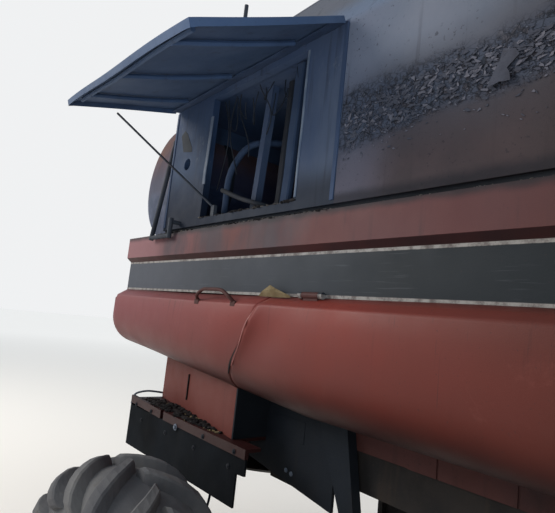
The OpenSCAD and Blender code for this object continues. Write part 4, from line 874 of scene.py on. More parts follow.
def build_lower_side(side, word):
    """Shield door and fixed hood side: dented a few millimetres, the right shield's rear edge bent open."""
    outwards, thickness, dent_depth = (side, 0, 0), 0.007, 0.0035
    shield = side_surface(shield_front_y, joint_y(-joint_gap), 130)
    hood = side_surface(joint_y(0.0), tail_y - 0.012, 70)
    for grid, seed in ((shield, 3), (hood, 8)):
        normal = grid_normals(grid)
        normal *= np.sign(normal[..., :1] + 1e-9)
        inner = np.clip((grid[..., 2] - 1.5) / 0.1, 0, 1)
        dent = dent_depth * (slow_waves(grid[..., 1], grid[..., 2], seed + (side > 0)) - 1.0)
        grid += normal * (dent * inner)[..., None]
    if side < 0:
        back, height = joint_y(-joint_gap) - shield[..., 1], shield[..., 2]
        bend = np.exp(-(np.abs(back) / 0.05) ** 1.5) * bent_share(height)
        shield[..., 0] += bend * bent_out(height)
        shield[..., 1] -= bent_back * bend
        shield[..., 0] -= 0.012 * round_dent(back - 0.16, height, 1.78, 0.11, 0.12)
        hood[..., 0] -= 0.014 * round_dent(hood[..., 1] - joint_y(0.0), hood[..., 2], 1.74, 0.14, 0.13)
    for grid, name, body in ((shield, "shield_" + word, "shield_" + word), (hood, "tail_hood", "root")):
        grid[..., 0] *= side
        grid[..., 1] += front_axle_y
        piece = sheet_piece(name + "_skin_" + word, grid, outwards, thickness, red_paint, "red_paint", body)
        if body != "root":
            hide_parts(name)
            points, faces = hinge_eyes(side, (1.2, 2.2, 3.15))
            put_piece("shield_hinge_eyes_" + word, points, faces, dark_red_paint, "red_paint", body)
        elif side < 0:
            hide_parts(name)


def build_tail_wall():
    """Rear wall of the hood: at each height as wide as the section there, waved by up to 4 mm."""
    neck_z, neck_slope = 1.90, 1.33
    heights = np.concatenate([tail_low_z + roll_r * (1 - np.cos(np.linspace(0, np.pi / 2, 12))),
                              np.linspace(1.81, shield_top_z, 8)[1:], [shield_top_z + 0.006],
                              np.linspace(1.97, deck_z - 0.03, 9)])
    low = heights < tail_low_z + roll_r
    drop = np.clip(tail_low_z + roll_r - heights, 0, roll_r)
    half = np.where(low, shield_x - roll_r + np.sqrt(roll_r ** 2 - drop ** 2), shield_x)
    half = np.where(heights > neck_z, crease_x - (heights - neck_z) * neck_slope, half)
    half = np.where(heights > shield_top_z, stripe_x - 0.015, half)
    across = np.linspace(-1, 1, 41)[None] * half[:, None]
    z = np.broadcast_to(heights[:, None], across.shape)
    y = tail_y - 0.0015 - 0.004 * np.abs(slow_waves(across * 1.4, z, 21))
    grid = np.stack([across, rearward(y), z], -1)
    sheet_piece("tail_wall_skin", grid, (0, 1, 0), 0.009, red_paint, "red_paint")


build_lower_side(-1, "right")
build_lower_side(1, "left")
build_tail_wall()


# Service door: its front corner hangs lower than its rear one
door_hinge_x, door_front_y, door_rear_y = -1.268, 3.097, 4.52


def build_service_door():
    """Sheet from the hinge line to a free edge, its length and droop changing along it, its edges folded."""
    rows, columns = 36, 26
    front_droop, rear_droop, front_length, rear_length = 27.2, 16.2, 0.755, 0.665
    sheet_z, near, fold = 3.088, 0.016, 0.026
    u = np.linspace(0, 1, rows)[:, None]
    v = np.linspace(0, 1, columns)[None]
    droop = np.radians(front_droop + (rear_droop - front_droop) * u)
    length = front_length + (rear_length - front_length) * u
    y = door_front_y + (door_rear_y - door_front_y) * u + 0 * v
    sag = 0.012 * np.sin(np.pi * v) * np.sin(np.pi * u) + 0.004 * np.sin(9 * u + 3 * v)
    reach = near + (length - near) * v
    x = door_hinge_x - reach * np.cos(droop)
    z = sheet_z - reach * np.sin(droop) - sag
    grid = np.stack([x, rearward(y), z], -1)
    normal = grid_normals(grid)
    normal *= np.sign(normal[..., 2:])
    rim = np.zeros((rows + 2, columns + 2, 3))
    rim[1:-1, 1:-1] = grid
    rim[0, 1:-1], rim[-1, 1:-1] = grid[0] - normal[0] * fold, grid[-1] - normal[-1] * fold
    rim[1:-1, 0], rim[1:-1, -1] = grid[:, 0] - normal[:, 0] * 0.004, grid[:, -1] - normal[:, -1] * fold
    rim[0, 0], rim[0, -1] = rim[0, 1], rim[0, -2] - normal[0, -1] * 0.001
    rim[-1, 0], rim[-1, -1] = rim[-1, 1], rim[-1, -2] - normal[-1, -1] * 0.001
    door = sheet_piece("service_door_skin", rim, (0, 0, 1), 0.003, door_shade_steel, "soot_steel", "service_door",
                       smooth=False)
    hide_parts("service_door")
    parts = [tube_mesh(grid[at, 2:-2] - normal[at, 2:-2] * 0.014, 0.012, 6) for at in (6, 18, 29)]
    parts.append(tube_mesh(grid[2:-2, -3] - normal[2:-2, -3] * 0.012, 0.010, 6))
    for y in (3.3, 3.81, 4.32):
        parts.append(tube_mesh(hinge_eye(door_hinge_x, y, 3.093), hinge_r, 12))
        parts.append(box_mesh((-1.289, rearward(y - 0.04), 3.077), (-1.27, rearward(y + 0.04), 3.084)))
    put_piece("service_door_ribs", *joined(parts), door_shade_steel, "soot_steel", "service_door")


build_service_door()


# Tyres: carcass turned from its section, lugs carried from the middle line over the shoulder
def tyre_section(r, rim_r, w, lug_h):
    """Half section of the carcass under the lugs, from the crown to the bead, as offsets and radii."""
    tread = r - lug_h
    knots = np.array([(0, tread), (0.2 * w, tread - 0.006), (0.36 * w, tread - 0.03),
                      (0.455 * w, tread - 0.075), (0.5 * w, tread - 0.15),
                      (0.5 * w, rim_r + (r - rim_r) * 0.38), (0.46 * w, rim_r + 0.05),
                      (0.40 * w, rim_r + 0.012), (0.385 * w, rim_r + 0.002)])
    s = np.concatenate([[0], np.cumsum(np.linalg.norm(np.diff(knots, axis=0), axis=1))])
    t = np.linspace(0, s[-1], 34)
    even = np.stack([np.interp(t, s, knots[:, 0]), np.interp(t, s, knots[:, 1])], -1)
    for _ in range(3):
        even[1:-1] = 0.25 * even[:-2] + 0.5 * even[1:-1] + 0.25 * even[2:]
    return even


def tyre_mesh(r, rim_r, w, lug_h, lug_count):
    """Carcass about the X axis and a ring of lugs on each side: a rounded bar whose middle line leaves the
    crown aslant and runs down the side wall; two fine ribs go round above the bead."""
    lugs_down_wall, lug_slant = 0.12, 0.62
    half = tyre_section(r, rim_r, w, lug_h)
    whole = np.concatenate([half[::-1] * [-1, 1], half[1:]])
    sides = 96
    angle = np.linspace(0, 2 * np.pi, sides, endpoint=False)
    ring = np.stack([np.zeros(sides), np.cos(angle), np.sin(angle)], -1)
    points = ring[None] * whole[:, None, 1:] + np.array([1.0, 0, 0]) * whole[:, None, :1]
    inner = ring * (rim_r - 0.001)
    faces = grid_faces(len(whole) + 2, sides, wrap=True)
    points = np.concatenate([inner[None] + [whole[0, 0], 0, 0], points, inner[None] + [whole[-1, 0], 0, 0]])
    j, last_ring = np.arange(sides), (len(points) - 1) * sides
    j2 = (j + 1) % sides
    wrap = np.stack([last_ring + j, last_ring + j2, j2, j], -1)
    carcass = (points.reshape(-1, 3), np.concatenate([faces, wrap]).tolist())
    s = np.concatenate([[0], np.cumsum(np.linalg.norm(np.diff(half, axis=0), axis=1))])
    reach = s[np.argmin(np.abs(half[:, 1] - (r - lug_h - lugs_down_wall)))]
    t = np.array([-0.02, 0.0, 0.04, 0.12, 0.24, 0.36, 0.48, 0.6, 0.7, 0.8, 0.9, 0.97, 1.0, 1.01])
    at = -0.02 * w + (reach + 0.02 * w) * np.clip(t, 0, 1)
    offset = np.where(at < 0, at, np.interp(at, s, half[:, 0]))
    radius = np.interp(np.abs(at), s, half[:, 1])
    phi = lug_slant * w / r * np.clip(t, 0, 1) ** 0.85
    width = (0.040 + 0.028 * np.clip(t, 0, 1)) * (lug_h / 0.045) ** 0.5
    rise = lug_h * np.array([0.0, 0.75, 0.96, 1, 1, 1, 1, 1, 1, 0.97, 0.86, 0.62, 0.36, 0.0])
    slope = np.gradient(half, s, axis=0)
    slope /= np.linalg.norm(slope, axis=1)[:, None]
    n_x, n_r = -np.interp(np.abs(at), s, slope[:, 1]), np.interp(np.abs(at), s, slope[:, 0])
    out = np.array([-0.012, 0.45, 0.86, 1.0, 1.0, 0.86, 0.45, -0.012])
    side = np.array([-1.0, -0.74, -0.6, -0.42, 0.42, 0.6, 0.74, 1.0])
    lift = np.where(out < 0, out, out * rise[:, None])
    x = offset[:, None] + n_x[:, None] * lift
    rad = radius[:, None] + n_r[:, None] * lift
    turn = phi[:, None] + side * width[:, None] / radius[:, None]
    parts = [carcass]
    for mirror in (1, -1):
        for k in range(lug_count):
            a = turn + 2 * np.pi * (k + (0.5 if mirror < 0 else 0.0)) / lug_count
            p = np.stack([mirror * x, rad * np.cos(a), rad * np.sin(a)], -1)
            f = grid_faces(len(t), len(side), wrap=True).tolist()
            last = (len(t) - 1) * len(side)
            f += [list(range(len(side)))[::-1], list(range(last, last + len(side)))]
            parts.append((p.reshape(-1, 3), f))
    for mirror in (1, -1):
        for rib_r, high in ((rim_r + 0.07, 0.006), (rim_r + 0.11, 0.004)):
            x = mirror * np.interp(-rib_r, -half[:, 1], half[:, 0])
            parts.append(tube_mesh(ring * rib_r + [x, 0, 0], high, 6))
    return joined(parts)


def build_tyres():
    """Each tyre about its node's middle, turned a little, and mirrored on the right to point the same way."""
    # axle, radius, rim radius, width, lug height, lugs a side, turned by
    axles = [("front", 0.91, 0.406, 0.775, 0.048, 22, 0.05), ("rear", 0.65, 0.305, 0.38, 0.042, 18, 0.11)]
    for axle, r, rim_r, w, lug_h, count, turned in axles:
        c, s = np.cos(turned), np.sin(turned)
        points, faces = tyre_mesh(r - 0.001, rim_r, w, lug_h, count)
        points = points @ np.array([[1, 0, 0], [0, c, s], [0, -s, c]])
        for side, word in ((1, "left"), (-1, "right")):
            node = f"{axle}_tyre_{word}"
            middle = sum(np.array(corner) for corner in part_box(node)) / 2
            tyre = put_piece(node + "_tread", points * [side, 1, 1] + middle, faces, tyre_rubber,
                             "tyre_rubber", f"{axle}_wheel_{word}")
            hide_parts(node)


build_tyres()

# Debris, flakes and torn pieces that the fire left
GOLDEN = (1 + 5 ** 0.5) / 2
BALL = np.array([(-1, GOLDEN, 0), (1, GOLDEN, 0), (-1, -GOLDEN, 0), (1, -GOLDEN, 0),
                 (0, -1, GOLDEN), (0, 1, GOLDEN), (0, -1, -GOLDEN), (0, 1, -GOLDEN),
                 (GOLDEN, 0, -1), (GOLDEN, 0, 1), (-GOLDEN, 0, -1), (-GOLDEN, 0, 1)])
BALL /= (1 + GOLDEN ** 2) ** 0.5
BALL_FACES = [(0, 11, 5), (0, 5, 1), (0, 1, 7), (0, 7, 10), (0, 10, 11),
              (1, 5, 9), (5, 11, 4), (11, 10, 2), (10, 7, 6), (7, 1, 8),
              (3, 9, 4), (3, 4, 2), (3, 2, 6), (3, 6, 8), (3, 8, 9),
              (4, 9, 5), (2, 4, 11), (6, 2, 10), (8, 6, 7), (9, 8, 1)]


def crumbs(name, places, normals, sizes, flat, material, slot, seed):
    """Twelve-cornered lumps, each corner pushed in or out by up to two fifths, flattened to the surface."""
    rng = np.random.default_rng(seed)
    places = np.asarray(places, float)
    n = len(places)
    normals = np.broadcast_to(np.asarray(normals, float), places.shape)
    turns = facing(normals, rng.uniform(0, 6.28, n))
    push = rng.uniform(0.6, 1.25, (n, 12, 1))
    stretch = np.stack([rng.uniform(0.6, 1.7, n), rng.uniform(0.6, 1.2, n), np.full(n, flat)], -1)[:, None]
    local = BALL * push * stretch * np.asarray(sizes, float)[:, None, None]
    points = np.einsum("kij,knj->kni", turns, local) + places[:, None]
    faces = (np.array(BALL_FACES)[None] + 12 * np.arange(n)[:, None, None]).reshape(-1, 3)
    return put_piece(name, points, faces.tolist(), material, slot, closed=False)


def flake_mesh(outline, lift, thickness):
    """Thin shell over an outline round the origin: middle point, a ring half way out and the outline itself,
    each raised by lift(u, v), with the same again one thickness below and a wall between."""
    outline = np.asarray(outline, float)
    n = len(outline)
    flat = np.concatenate([[[0.0, 0.0]], outline * 0.55, outline])
    top = np.column_stack([flat, lift(flat[:, 0], flat[:, 1])])
    points = np.concatenate([top, top - [0, 0, thickness]])
    faces, half = [], 2 * n + 1
    for k in range(n):
        a, b = k, (k + 1) % n
        ring = [[0, 1 + a, 1 + b], [1 + a, 1 + n + a, 1 + n + b, 1 + b]]
        faces += ring + [[i + half for i in f[::-1]] for f in ring]
        faces.append([1 + n + a, half + 1 + n + a, half + 1 + n + b, 1 + n + b])
    return points, faces


def flakes(name, places, normal, sizes, material, slot, raised, seed):
    """Peeling scales of paint: seven-cornered shells that hang on by their upper edge and curl out below."""
    rng = np.random.default_rng(seed)
    parts = []
    turns = facing(np.broadcast_to(np.asarray(normal, float), (len(places), 3)),
                   rng.normal(0, 0.5, len(places)))
    for place, size, turn in zip(places, sizes, turns):
        chance, even = rng.uniform(0, 2 * np.pi, 7), np.linspace(0, 2 * np.pi, 7, endpoint=False)
        angle = np.sort(chance * 0.4 + even * 0.6 + 1)
        reach = size * rng.uniform(0.5, 1.0, 7)
        outline = np.stack([reach * np.cos(angle) * 1.3, reach * np.sin(angle) * 0.62], -1)
        height = size * rng.uniform(0.4, 1.0) * raised
        curl = rng.uniform(-0.4, 0.8)
        points, faces = flake_mesh(outline, lambda u, v: 0.0015 + height * ((size - v) / (2 * size)) ** 2
                                   * (1 + curl * u / size), 0.0012)
        parts.append((points @ turn.T + place, faces))
    return put_piece(name, *joined(parts), material, slot)


def side_scale(name, corners, middle, x, lift, thickness, material, slot):
    """Thin shell laid on the right side at x: corners are places behind the front axle and heights, and
    lift(u, v) raises it outwards, u running forwards and v upwards from the middle."""
    points, faces = flake_mesh((np.array(corners) - middle) * [-1, 1], lift, thickness)
    turn = np.array([(0, -1, 0), (0, 0, 1), (-1, 0, 0)], float)
    return put_piece(name, points @ turn + [x, rearward(middle[0]), middle[1]], faces, material, slot)


char_steel = weathered("char_steel", (30, 33, 39), (42, 44, 50), (17, 19, 23), (52, 46, 42),
                       0.75, soot=0.45, blot=0.3)
worn_steel = weathered("worn_steel", (84, 94, 110), (108, 116, 128), (52, 60, 76), (62, 54, 52),
                       0.6, soot=0.42, blot=0.12)
ash_grit = weathered("ash_grit", (70, 66, 66), (98, 92, 86), (40, 38, 40), (56, 46, 40),
                     0.9, soot=0.5, blot=0.05)
soot_crust = weathered("soot_crust", (24, 23, 25), (38, 35, 35), (14, 14, 16), (52, 44, 38),
                       0.95, soot=0.45, blot=0.05)
# Painted highlight: pale scales that stand for the lit tops of the crust's scales.
lit_crust = weathered("lit_crust", (88, 88, 98), (102, 101, 110), (62, 68, 82), (60, 56, 60),
                       0.75, soot=0.45, blot=0.1)
dark_crust = weathered("dark_crust", (58, 60, 70), (72, 74, 84), (38, 43, 54), (46, 42, 46),
                       0.8, soot=0.45, blot=0.08)
# Painted highlight: pale pink for the lit edge of the bent lip.
lip_highlight_red = weathered("lip_highlight_red", (150, 96, 92), (176, 128, 122), (112, 64, 60), (90, 52, 48),
                     0.6, soot=0.4, blot=0.1)
straw_ash = weathered("straw_ash", (112, 98, 72), (134, 120, 92), (70, 60, 48), (50, 44, 38),
                      0.9, soot=0.4, blot=0.05)


def build_tank_crust(side, seed):
    """Scales of burnt paint over the band where they still cling, thickest at its middle, few beyond it."""
    first_y, run, crust_z = 0.46, 2.6, 2.70
    rng = np.random.default_rng(seed)
    word = "right" if side < 0 else "left"
    # The pale scales are painted highlight, the lit tops of scales.
    # name, count, spread, size from and to, finish
    for name, count, spread, small, large, material in (
            ("dark", 1150, 0.052, 0.006, 0.019, dark_crust), ("pale", 620, 0.056, 0.005, 0.016, lit_crust)):
        y = first_y + run * rng.uniform(0, 1, count) ** 0.8
        z = crust_z + 0.03 * np.sin(3.1 * y) - np.abs(rng.normal(0, 1.6 * spread, count))
        z += rng.normal(0, 0.02, count)
        z = np.where(y < 2.4, z - 0.10 * (2.4 - y), z - 0.03 * np.clip((y - 2.6) / 0.4, 0, 1))
        places = np.stack([np.full(count, side * (stripe_x + 0.0005)), rearward(y), z], -1)
        sizes = rng.uniform(small, large, count) * np.exp(-((z - 2.675) / 0.22) ** 2)
        flakes(f"tank_crust_{name}_{word}", places, (side, 0, 0), np.maximum(sizes, 0.004), material,
               "burnt_paint", 0.5, seed + 1)


def build_big_flap():
    """The one large scale, still held along its top and standing out towards its lower corner."""
    corners = [(2.488, 2.588), (2.470, 2.640), (2.455, 2.676), (2.447, 2.706), (2.428, 2.694), (2.411, 2.690),
               (2.397, 2.667), (2.431, 2.635), (2.420, 2.614), (2.416, 2.588), (2.450, 2.596)]
    side_scale("tank_big_flap", corners, (2.442, 2.64), -stripe_x,
               lambda u, v: 0.004 + 0.015 * np.clip((-v + 0.05) / 0.11, 0, 1) ** 1.5 + 0.003 * np.sin(40 * u),
               0.002, dark_crust, "burnt_paint")


def build_tank_wings():
    """Leaning upper sides of the tank carried on over the engine bay: a flat strip from the fold to the rim,
    as far in as the tank's own lean, its rear end cut aslant and its upper edge rolled outwards."""
    lean_in = 0.267
    t = np.linspace(0, 1, 24)[:, None]
    u = np.linspace(0, 1, 40)[None]
    start, end = 2.90 - 0.19 * t, 3.93 - 0.10 * t
    y = start + (end - start) * u
    x = stripe_x - 0.006 - lean_in * t + 0 * u
    z = fold_z + 0.004 + (tank_top_z - fold_z - 0.012) * t + 0 * u
    for side, word in SIDES:
        wave = 0.004 * slow_waves(y, z, 77)
        grid = np.stack([side * (x - wave), rearward(y), z], -1)
        sheet_piece("tank_wing_" + word, grid, (side, 0, 0.5), 0.004, burnt_paint, "burnt_paint")
        put_piece("tank_wing_rim_" + word, *tube_mesh(grid[-1], 0.009, 8), burnt_paint, "burnt_paint",
                  smooth=True)
        post = np.stack([grid[:, -1, 0] - side * 0.006, grid[:, -1, 1] - 0.01, grid[:, -1, 2]], -1)
        put_piece("tank_wing_post_" + word, *tube_mesh(post, 0.010, 8), burnt_paint, "burnt_paint",
                  smooth=True)


build_tank_wings()
build_tank_crust(-1, 31)
build_tank_crust(1, 47)
build_big_flap()


# Grit, ash and straw that lie on ledges
def strewn(name, count, lo, hi, small, large, material, slot, seed, clump):
    """Crumbs over a level patch between two corners, a share of them gathered round nine clumps."""
    flat = 0.55
    rng = np.random.default_rng(seed)
    lo, hi = np.asarray(lo, float), np.asarray(hi, float)
    spots = rng.uniform(lo[:2], hi[:2], (9, 2))
    free = rng.uniform(lo[:2], hi[:2], (count, 2))
    near = spots[rng.integers(0, 9, count)] + rng.normal(0, 0.03, (count, 2))
    xy = np.where(rng.uniform(0, 1, (count, 1)) < clump, near, free)
    xy = np.clip(xy, lo[:2], hi[:2])
    sizes = rng.uniform(small, large, count)
    places = np.column_stack([xy, lo[2] + sizes * flat * 0.35])
    return crumbs(name, places, (0, 0, 1), sizes, flat, material, slot, seed + 5)


def build_grit():
    """Grit, soot and straw on the band, the bay's sill, the ledge over the spreader and the deck's tail."""
    sill, ledge, opening = 2.355, 1.3, (3.335, 4.1)
    steel, red = "soot_steel", "red_paint"
    # name, count, x range, y range, height, crumb sizes, clumping, material, slot
    patches = [
        ("grit_band_right", 420, (-1.278, -1.252), (3.1, 4.52), deck_z, (0.002, 0.009), 0.5, ash_grit, steel),
        ("grit_band_fore", 150, (-1.278, -1.252), (0.5, 3.1), deck_z, (0.002, 0.006), 0.5, ash_grit, steel),
        ("soot_band_right", 260, (-1.276, -1.252), (3.1, 4.52), deck_z, (0.004, 0.014), 0.7, soot_crust,
         steel),
        ("grit_sill_right", 240, (-1.248, -1.212), opening, sill, (0.003, 0.010), 0.5, ash_grit, steel),
        ("soot_sill_right", 160, (-1.246, -1.212), opening, sill, (0.005, 0.017), 0.6, soot_crust, steel),
        ("grit_band_left", 300, (1.252, 1.278), (0.5, 4.5), deck_z, (0.002, 0.008), 0.5, ash_grit, steel),
        ("soot_ledge_right", 330, (-1.215, -1.1), (3.7, 4.62), ledge, (0.005, 0.022), 0.75, soot_crust, red),
        ("straw_ledge_right", 130, (-1.218, -1.11), (3.75, 4.62), ledge, (0.003, 0.010), 0.8, straw_ash, red),
        ("soot_ledge_left", 240, (1.10, 1.215), (3.70, 4.62), ledge, (0.005, 0.020), 0.75, soot_crust, red),
        ("soot_deck_tail", 300, (-1.2, 1.2), (4.86, 4.94), deck_z, (0.006, 0.02), 0.3, soot_crust, steel),
    ]
    for seed, (name, count, xs, ys, z, sizes, clump, material, slot) in enumerate(patches):
        lo, hi = (xs[0], rearward(ys[0]), z), (xs[1], rearward(ys[1]), z)
        strewn(name, count, lo, hi, *sizes, material, slot, 60 + seed, clump)


build_grit()


# Handles, hinge strip and torn pieces of the lower side
def rod(name, corners, radius, bend, material, slot, body="root"):
    """Round rod or pipe through corners given behind the front axle, with rounded bends."""
    path = rounded_path([(x, rearward(y), z) for x, y, z in corners], bend)
    return put_piece(name, *tube_mesh(path, radius, 10), material, slot, body, smooth=True)


def build_handles():
    """Bow handle on each hood side, standing on two small feet."""
    near_x, far_x, foot_x = 1.300, 1.326, 1.309
    bow = [(near_x, 3.602, 1.905), (far_x, 3.614, 1.932), (far_x, 3.684, 1.963), (far_x, 3.850, 1.963),
           (far_x, 3.906, 1.930), (near_x, 3.918, 1.905)]
    for side, word in SIDES:
        rod("hood_handle_" + word, [(side * x, y, z) for x, y, z in bow], 0.0085, 0.03, dark_red_paint,
            "red_paint")
        feet = [box_mesh((side * foot_x - 0.005, rearward(y - 0.02), 1.888),
                         (side * foot_x + 0.005, rearward(y + 0.02), 1.914)) for y in (3.602, 3.918)]
        soften(put_piece("hood_handle_feet_" + word, *joined(feet), dark_red_paint, "red_paint"), 0.003)


def build_hinge_strip():
    """Folded strip that closes the roof's edge under the service door's hinge, its lower edge wavy."""
    y = np.linspace(3.10, 4.515, 60)
    rows = []
    for x, z in ((-1.2465, 3.079), (-1.262, 3.070), (-1.286, 3.063), (-1.309, 3.058)):
        rows.append(np.stack([np.full(60, x), rearward(y), z + 0.0012 * np.sin(23 * y + 40 * x)], -1))
    sheet_piece("roof_hinge_strip", np.array(rows), (0, 0, -1), 0.003, soot_steel, "soot_steel", smooth=False)


def build_torn_flap():
    """Corner of stripe film that lifted off the lower white line, curling outwards at its peak."""
    corners = [(3.475, 1.945), (3.430, 1.966), (3.375, 1.992), (3.338, 1.978), (3.262, 1.952), (3.262, 1.944),
               (3.35, 1.943)]
    side_scale("stripe_torn_flap", corners, (3.36, 1.953), -1.262,
               lambda u, v: 0.004 + 0.024 * np.clip((v + 0.012) / 0.03, 0, 1), 0.0015, straw_ash, "red_paint")


def shield_edge(z):
    """Half width and place of the right shield's rear edge before it was bent, at each height."""
    return (np.interp(-z, -fore_section[:, 1], fore_section[:, 0]),
            np.interp(-z, -fore_section[:, 1], joint_y(-joint_gap)))


def strip_rows(rows):
    """Grid of a narrow sheet from rows of x, place behind the front axle and height."""
    return np.stack([np.stack([x, rearward(y), z], -1) for x, y, z in rows])


def build_joint_lip():
    """Edge of the bent shield: a strip, widest at its middle, pale pink as a painted highlight, with a dark
    sheet of painted shade in the gap behind it.
    """
    t = np.linspace(0, 1, 34)
    z = 1.915 - 0.275 * t
    x, edge_y = shield_edge(z)
    x, edge_y = x + bent_share(z) * bent_out(z), edge_y - bent_back * bent_share(z)
    width = 0.002 + 0.017 * np.sin(np.pi * np.clip(t * 1.1, 0, 1)) ** 1.2
    lip = strip_rows([(-x - 0.0015 + 0.012 * k ** 2, edge_y - 0.002 + width * k, z) for k in (0.0, 0.5, 1.0)])
    sheet_piece("joint_bent_lip", lip, (-1, 0, 0), 0.002, lip_highlight_red, "red_paint", "shield_right")
    z = 1.76 - 0.16 * t
    x, edge_y = shield_edge(z)
    edge_y = edge_y - bent_back * bent_share(z)
    gap = 0.004 + 0.016 * np.sin(np.pi * t)
    # Painted shade: a dark sheet put in the gap behind the bent edge, where there is only shade.
    dark = strip_rows([(-x - 0.003, edge_y + 0.012 + gap * k, z) for k in (0.0, 0.5, 1.0)])
    sheet_piece("joint_gap_shade_sheet", dark, (-1, 0, 0), 0.003, soot_crust, "red_paint")


build_handles()
build_hinge_strip()
build_torn_flap()
build_joint_lip()


# Engine bay: edges of the opening, posts, pipes and hanging wires
def flat_bar(name, start, end, width, depth, wave, material, slot, seed):
    """Bar of two widths between two points given behind the front axle, wandering by a slow wave."""
    steps = 24
    start, end = (np.array((x, rearward(y), z)) for x, y, z in (start, end))
    t = np.linspace(0, 1, steps)[:, None]
    along = (end - start) / np.linalg.norm(end - start)
    across = np.cross(along, [1, 0, 0])
    across /= np.linalg.norm(across)
    deep = np.cross(across, along)
    shift = wave * slow_waves(t * 4 + seed, t * 0, 5 + seed)
    middle = start + (end - start) * t + across * shift
    ring = np.array([(-0.5, -0.5), (0.5, -0.5), (0.5, 0.5), (-0.5, 0.5)])
    grid = middle[:, None] + ring[None, :, :1] * width * across + ring[None, :, 1:] * depth * deep
    last = 4 * steps - 4
    faces = grid_faces(steps, 4, wrap=True).tolist() + [[0, 1, 2, 3], [last, last + 1, last + 2, last + 3]]
    return soften(put_piece(name, grid, faces, material, slot), min(width, depth) * 0.2, 1)


def hanging_wires():
    """Seven sagging wires under the bay's roof, each a parabola, and four burnt ends that hang down."""
    t = np.linspace(0, 1, 14)
    roof_z, wires = 3.03, []
    for k in range(7):
        start, end, sag = 3.36 + 0.1 * k, 3.46 + 0.095 * k, 0.12 + 0.07 * np.sin(3.3 * k)
        path = [-1.18 + 0.02 * np.sin(5 * t + k), rearward(start + (end - start) * t),
                roof_z - sag * 4 * t * (1 - t) - 0.03 * (k % 3)]
        wires.append(tube_mesh(np.stack(path, -1), 0.0028, 5))
    for k, (y, drop) in enumerate(((3.95, 0.44), (3.87, 0.36), (3.70, 0.27), (4.06, 0.5))):
        path = [-1.2 + 0.03 * t, rearward(y + 0.05 * np.sin(4 * t + k)), roof_z - drop * t]
        wires.append(tube_mesh(np.stack(path, -1), 0.0032, 5))
    return joined(wires)


def build_bay():
    """Bare edges and seams of the bay's side; posts, pipe, hose and wires inside; sheets behind them."""
    face_x, steel = -1.2515, "soot_steel"
    # name, x, foot, head, width, depth, wander, finish, slot
    bars = [
        ("bay_edge_rear", face_x, (4.106, 2.545), (4.096, 2.935), 0.026, 0.006, 0.0035, worn_steel, steel),
        ("bay_edge_front", face_x, (3.322, 2.37), (3.322, 3.035), 0.012, 0.006, 0.001, worn_steel, steel),
        ("bay_post_inner", -1.185, (3.465, 2.345), (3.440, 3.045), 0.055, 0.03, 0.003, charred_navy_shade, "rusty_iron"),
        ("bay_post_back", -1.10, (3.62, 2.345), (3.60, 3.045), 0.04, 0.03, 0.002, char_steel, steel),
        ("bay_fold_seam", face_x, (3.102, 2.33), (3.102, 3.07), 0.02, 0.007, 0.001, soot_steel, steel),
        ("bay_rear_seam", face_x, (4.517, 2.33), (4.517, 3.06), 0.02, 0.007, 0.001, soot_steel, steel),
    ]
    for seed, (name, x, foot, head, *rest) in enumerate(bars, 1):
        flat_bar(name, (x, *foot), (x, *head), *rest, seed)
    rod("bay_fallen_beam", [(-1.235, 3.93, 2.49), (-1.232, 3.76, 2.425), (-1.22, 3.56, 2.366)], 0.012, 0.05,
        char_steel, "soot_steel")
    rod("bay_bent_pipe", [(-1.15, 4.02, 2.36), (-1.17, 3.99, 2.62), (-1.12, 3.9, 2.78), (-0.9, 3.8, 2.82)],
        0.018, 0.08, charred_navy_shade, "rusty_iron")
    rod("bay_hose", [(-1.12, 3.36, 2.36), (-1.16, 3.38, 2.55), (-1.05, 3.5, 2.66), (-0.6, 3.55, 2.70)], 0.022,
        0.1, charred_navy_shade, "soot_steel")
    walls = [box_mesh((-1.02, rearward(4.455), 2.30), (1.205, rearward(4.459), 3.05)),
             box_mesh((-0.62, rearward(3.20), 2.32), (-0.60, rearward(4.45), 2.42)),
             box_mesh((1.195, rearward(3.35), 2.40), (1.199, rearward(4.40), 3.02))]
    put_piece("bay_bulkheads", *joined(walls), charred_navy_shade, "soot_steel")
    put_piece("bay_wires", *hanging_wires(), char_steel, "soot_steel")
    corners = [(4.449, 2.90), (4.41, 2.925), (4.375, 2.90), (4.30, 2.80), (4.29, 2.77), (4.33, 2.775),
               (4.40, 2.79)]
    side_scale("bay_burnt_through", corners, (4.375, 2.835), -stripe_x, lambda u, v: 0.0015 + 0 * u, 0.003,
               black_paint, "soot_steel")


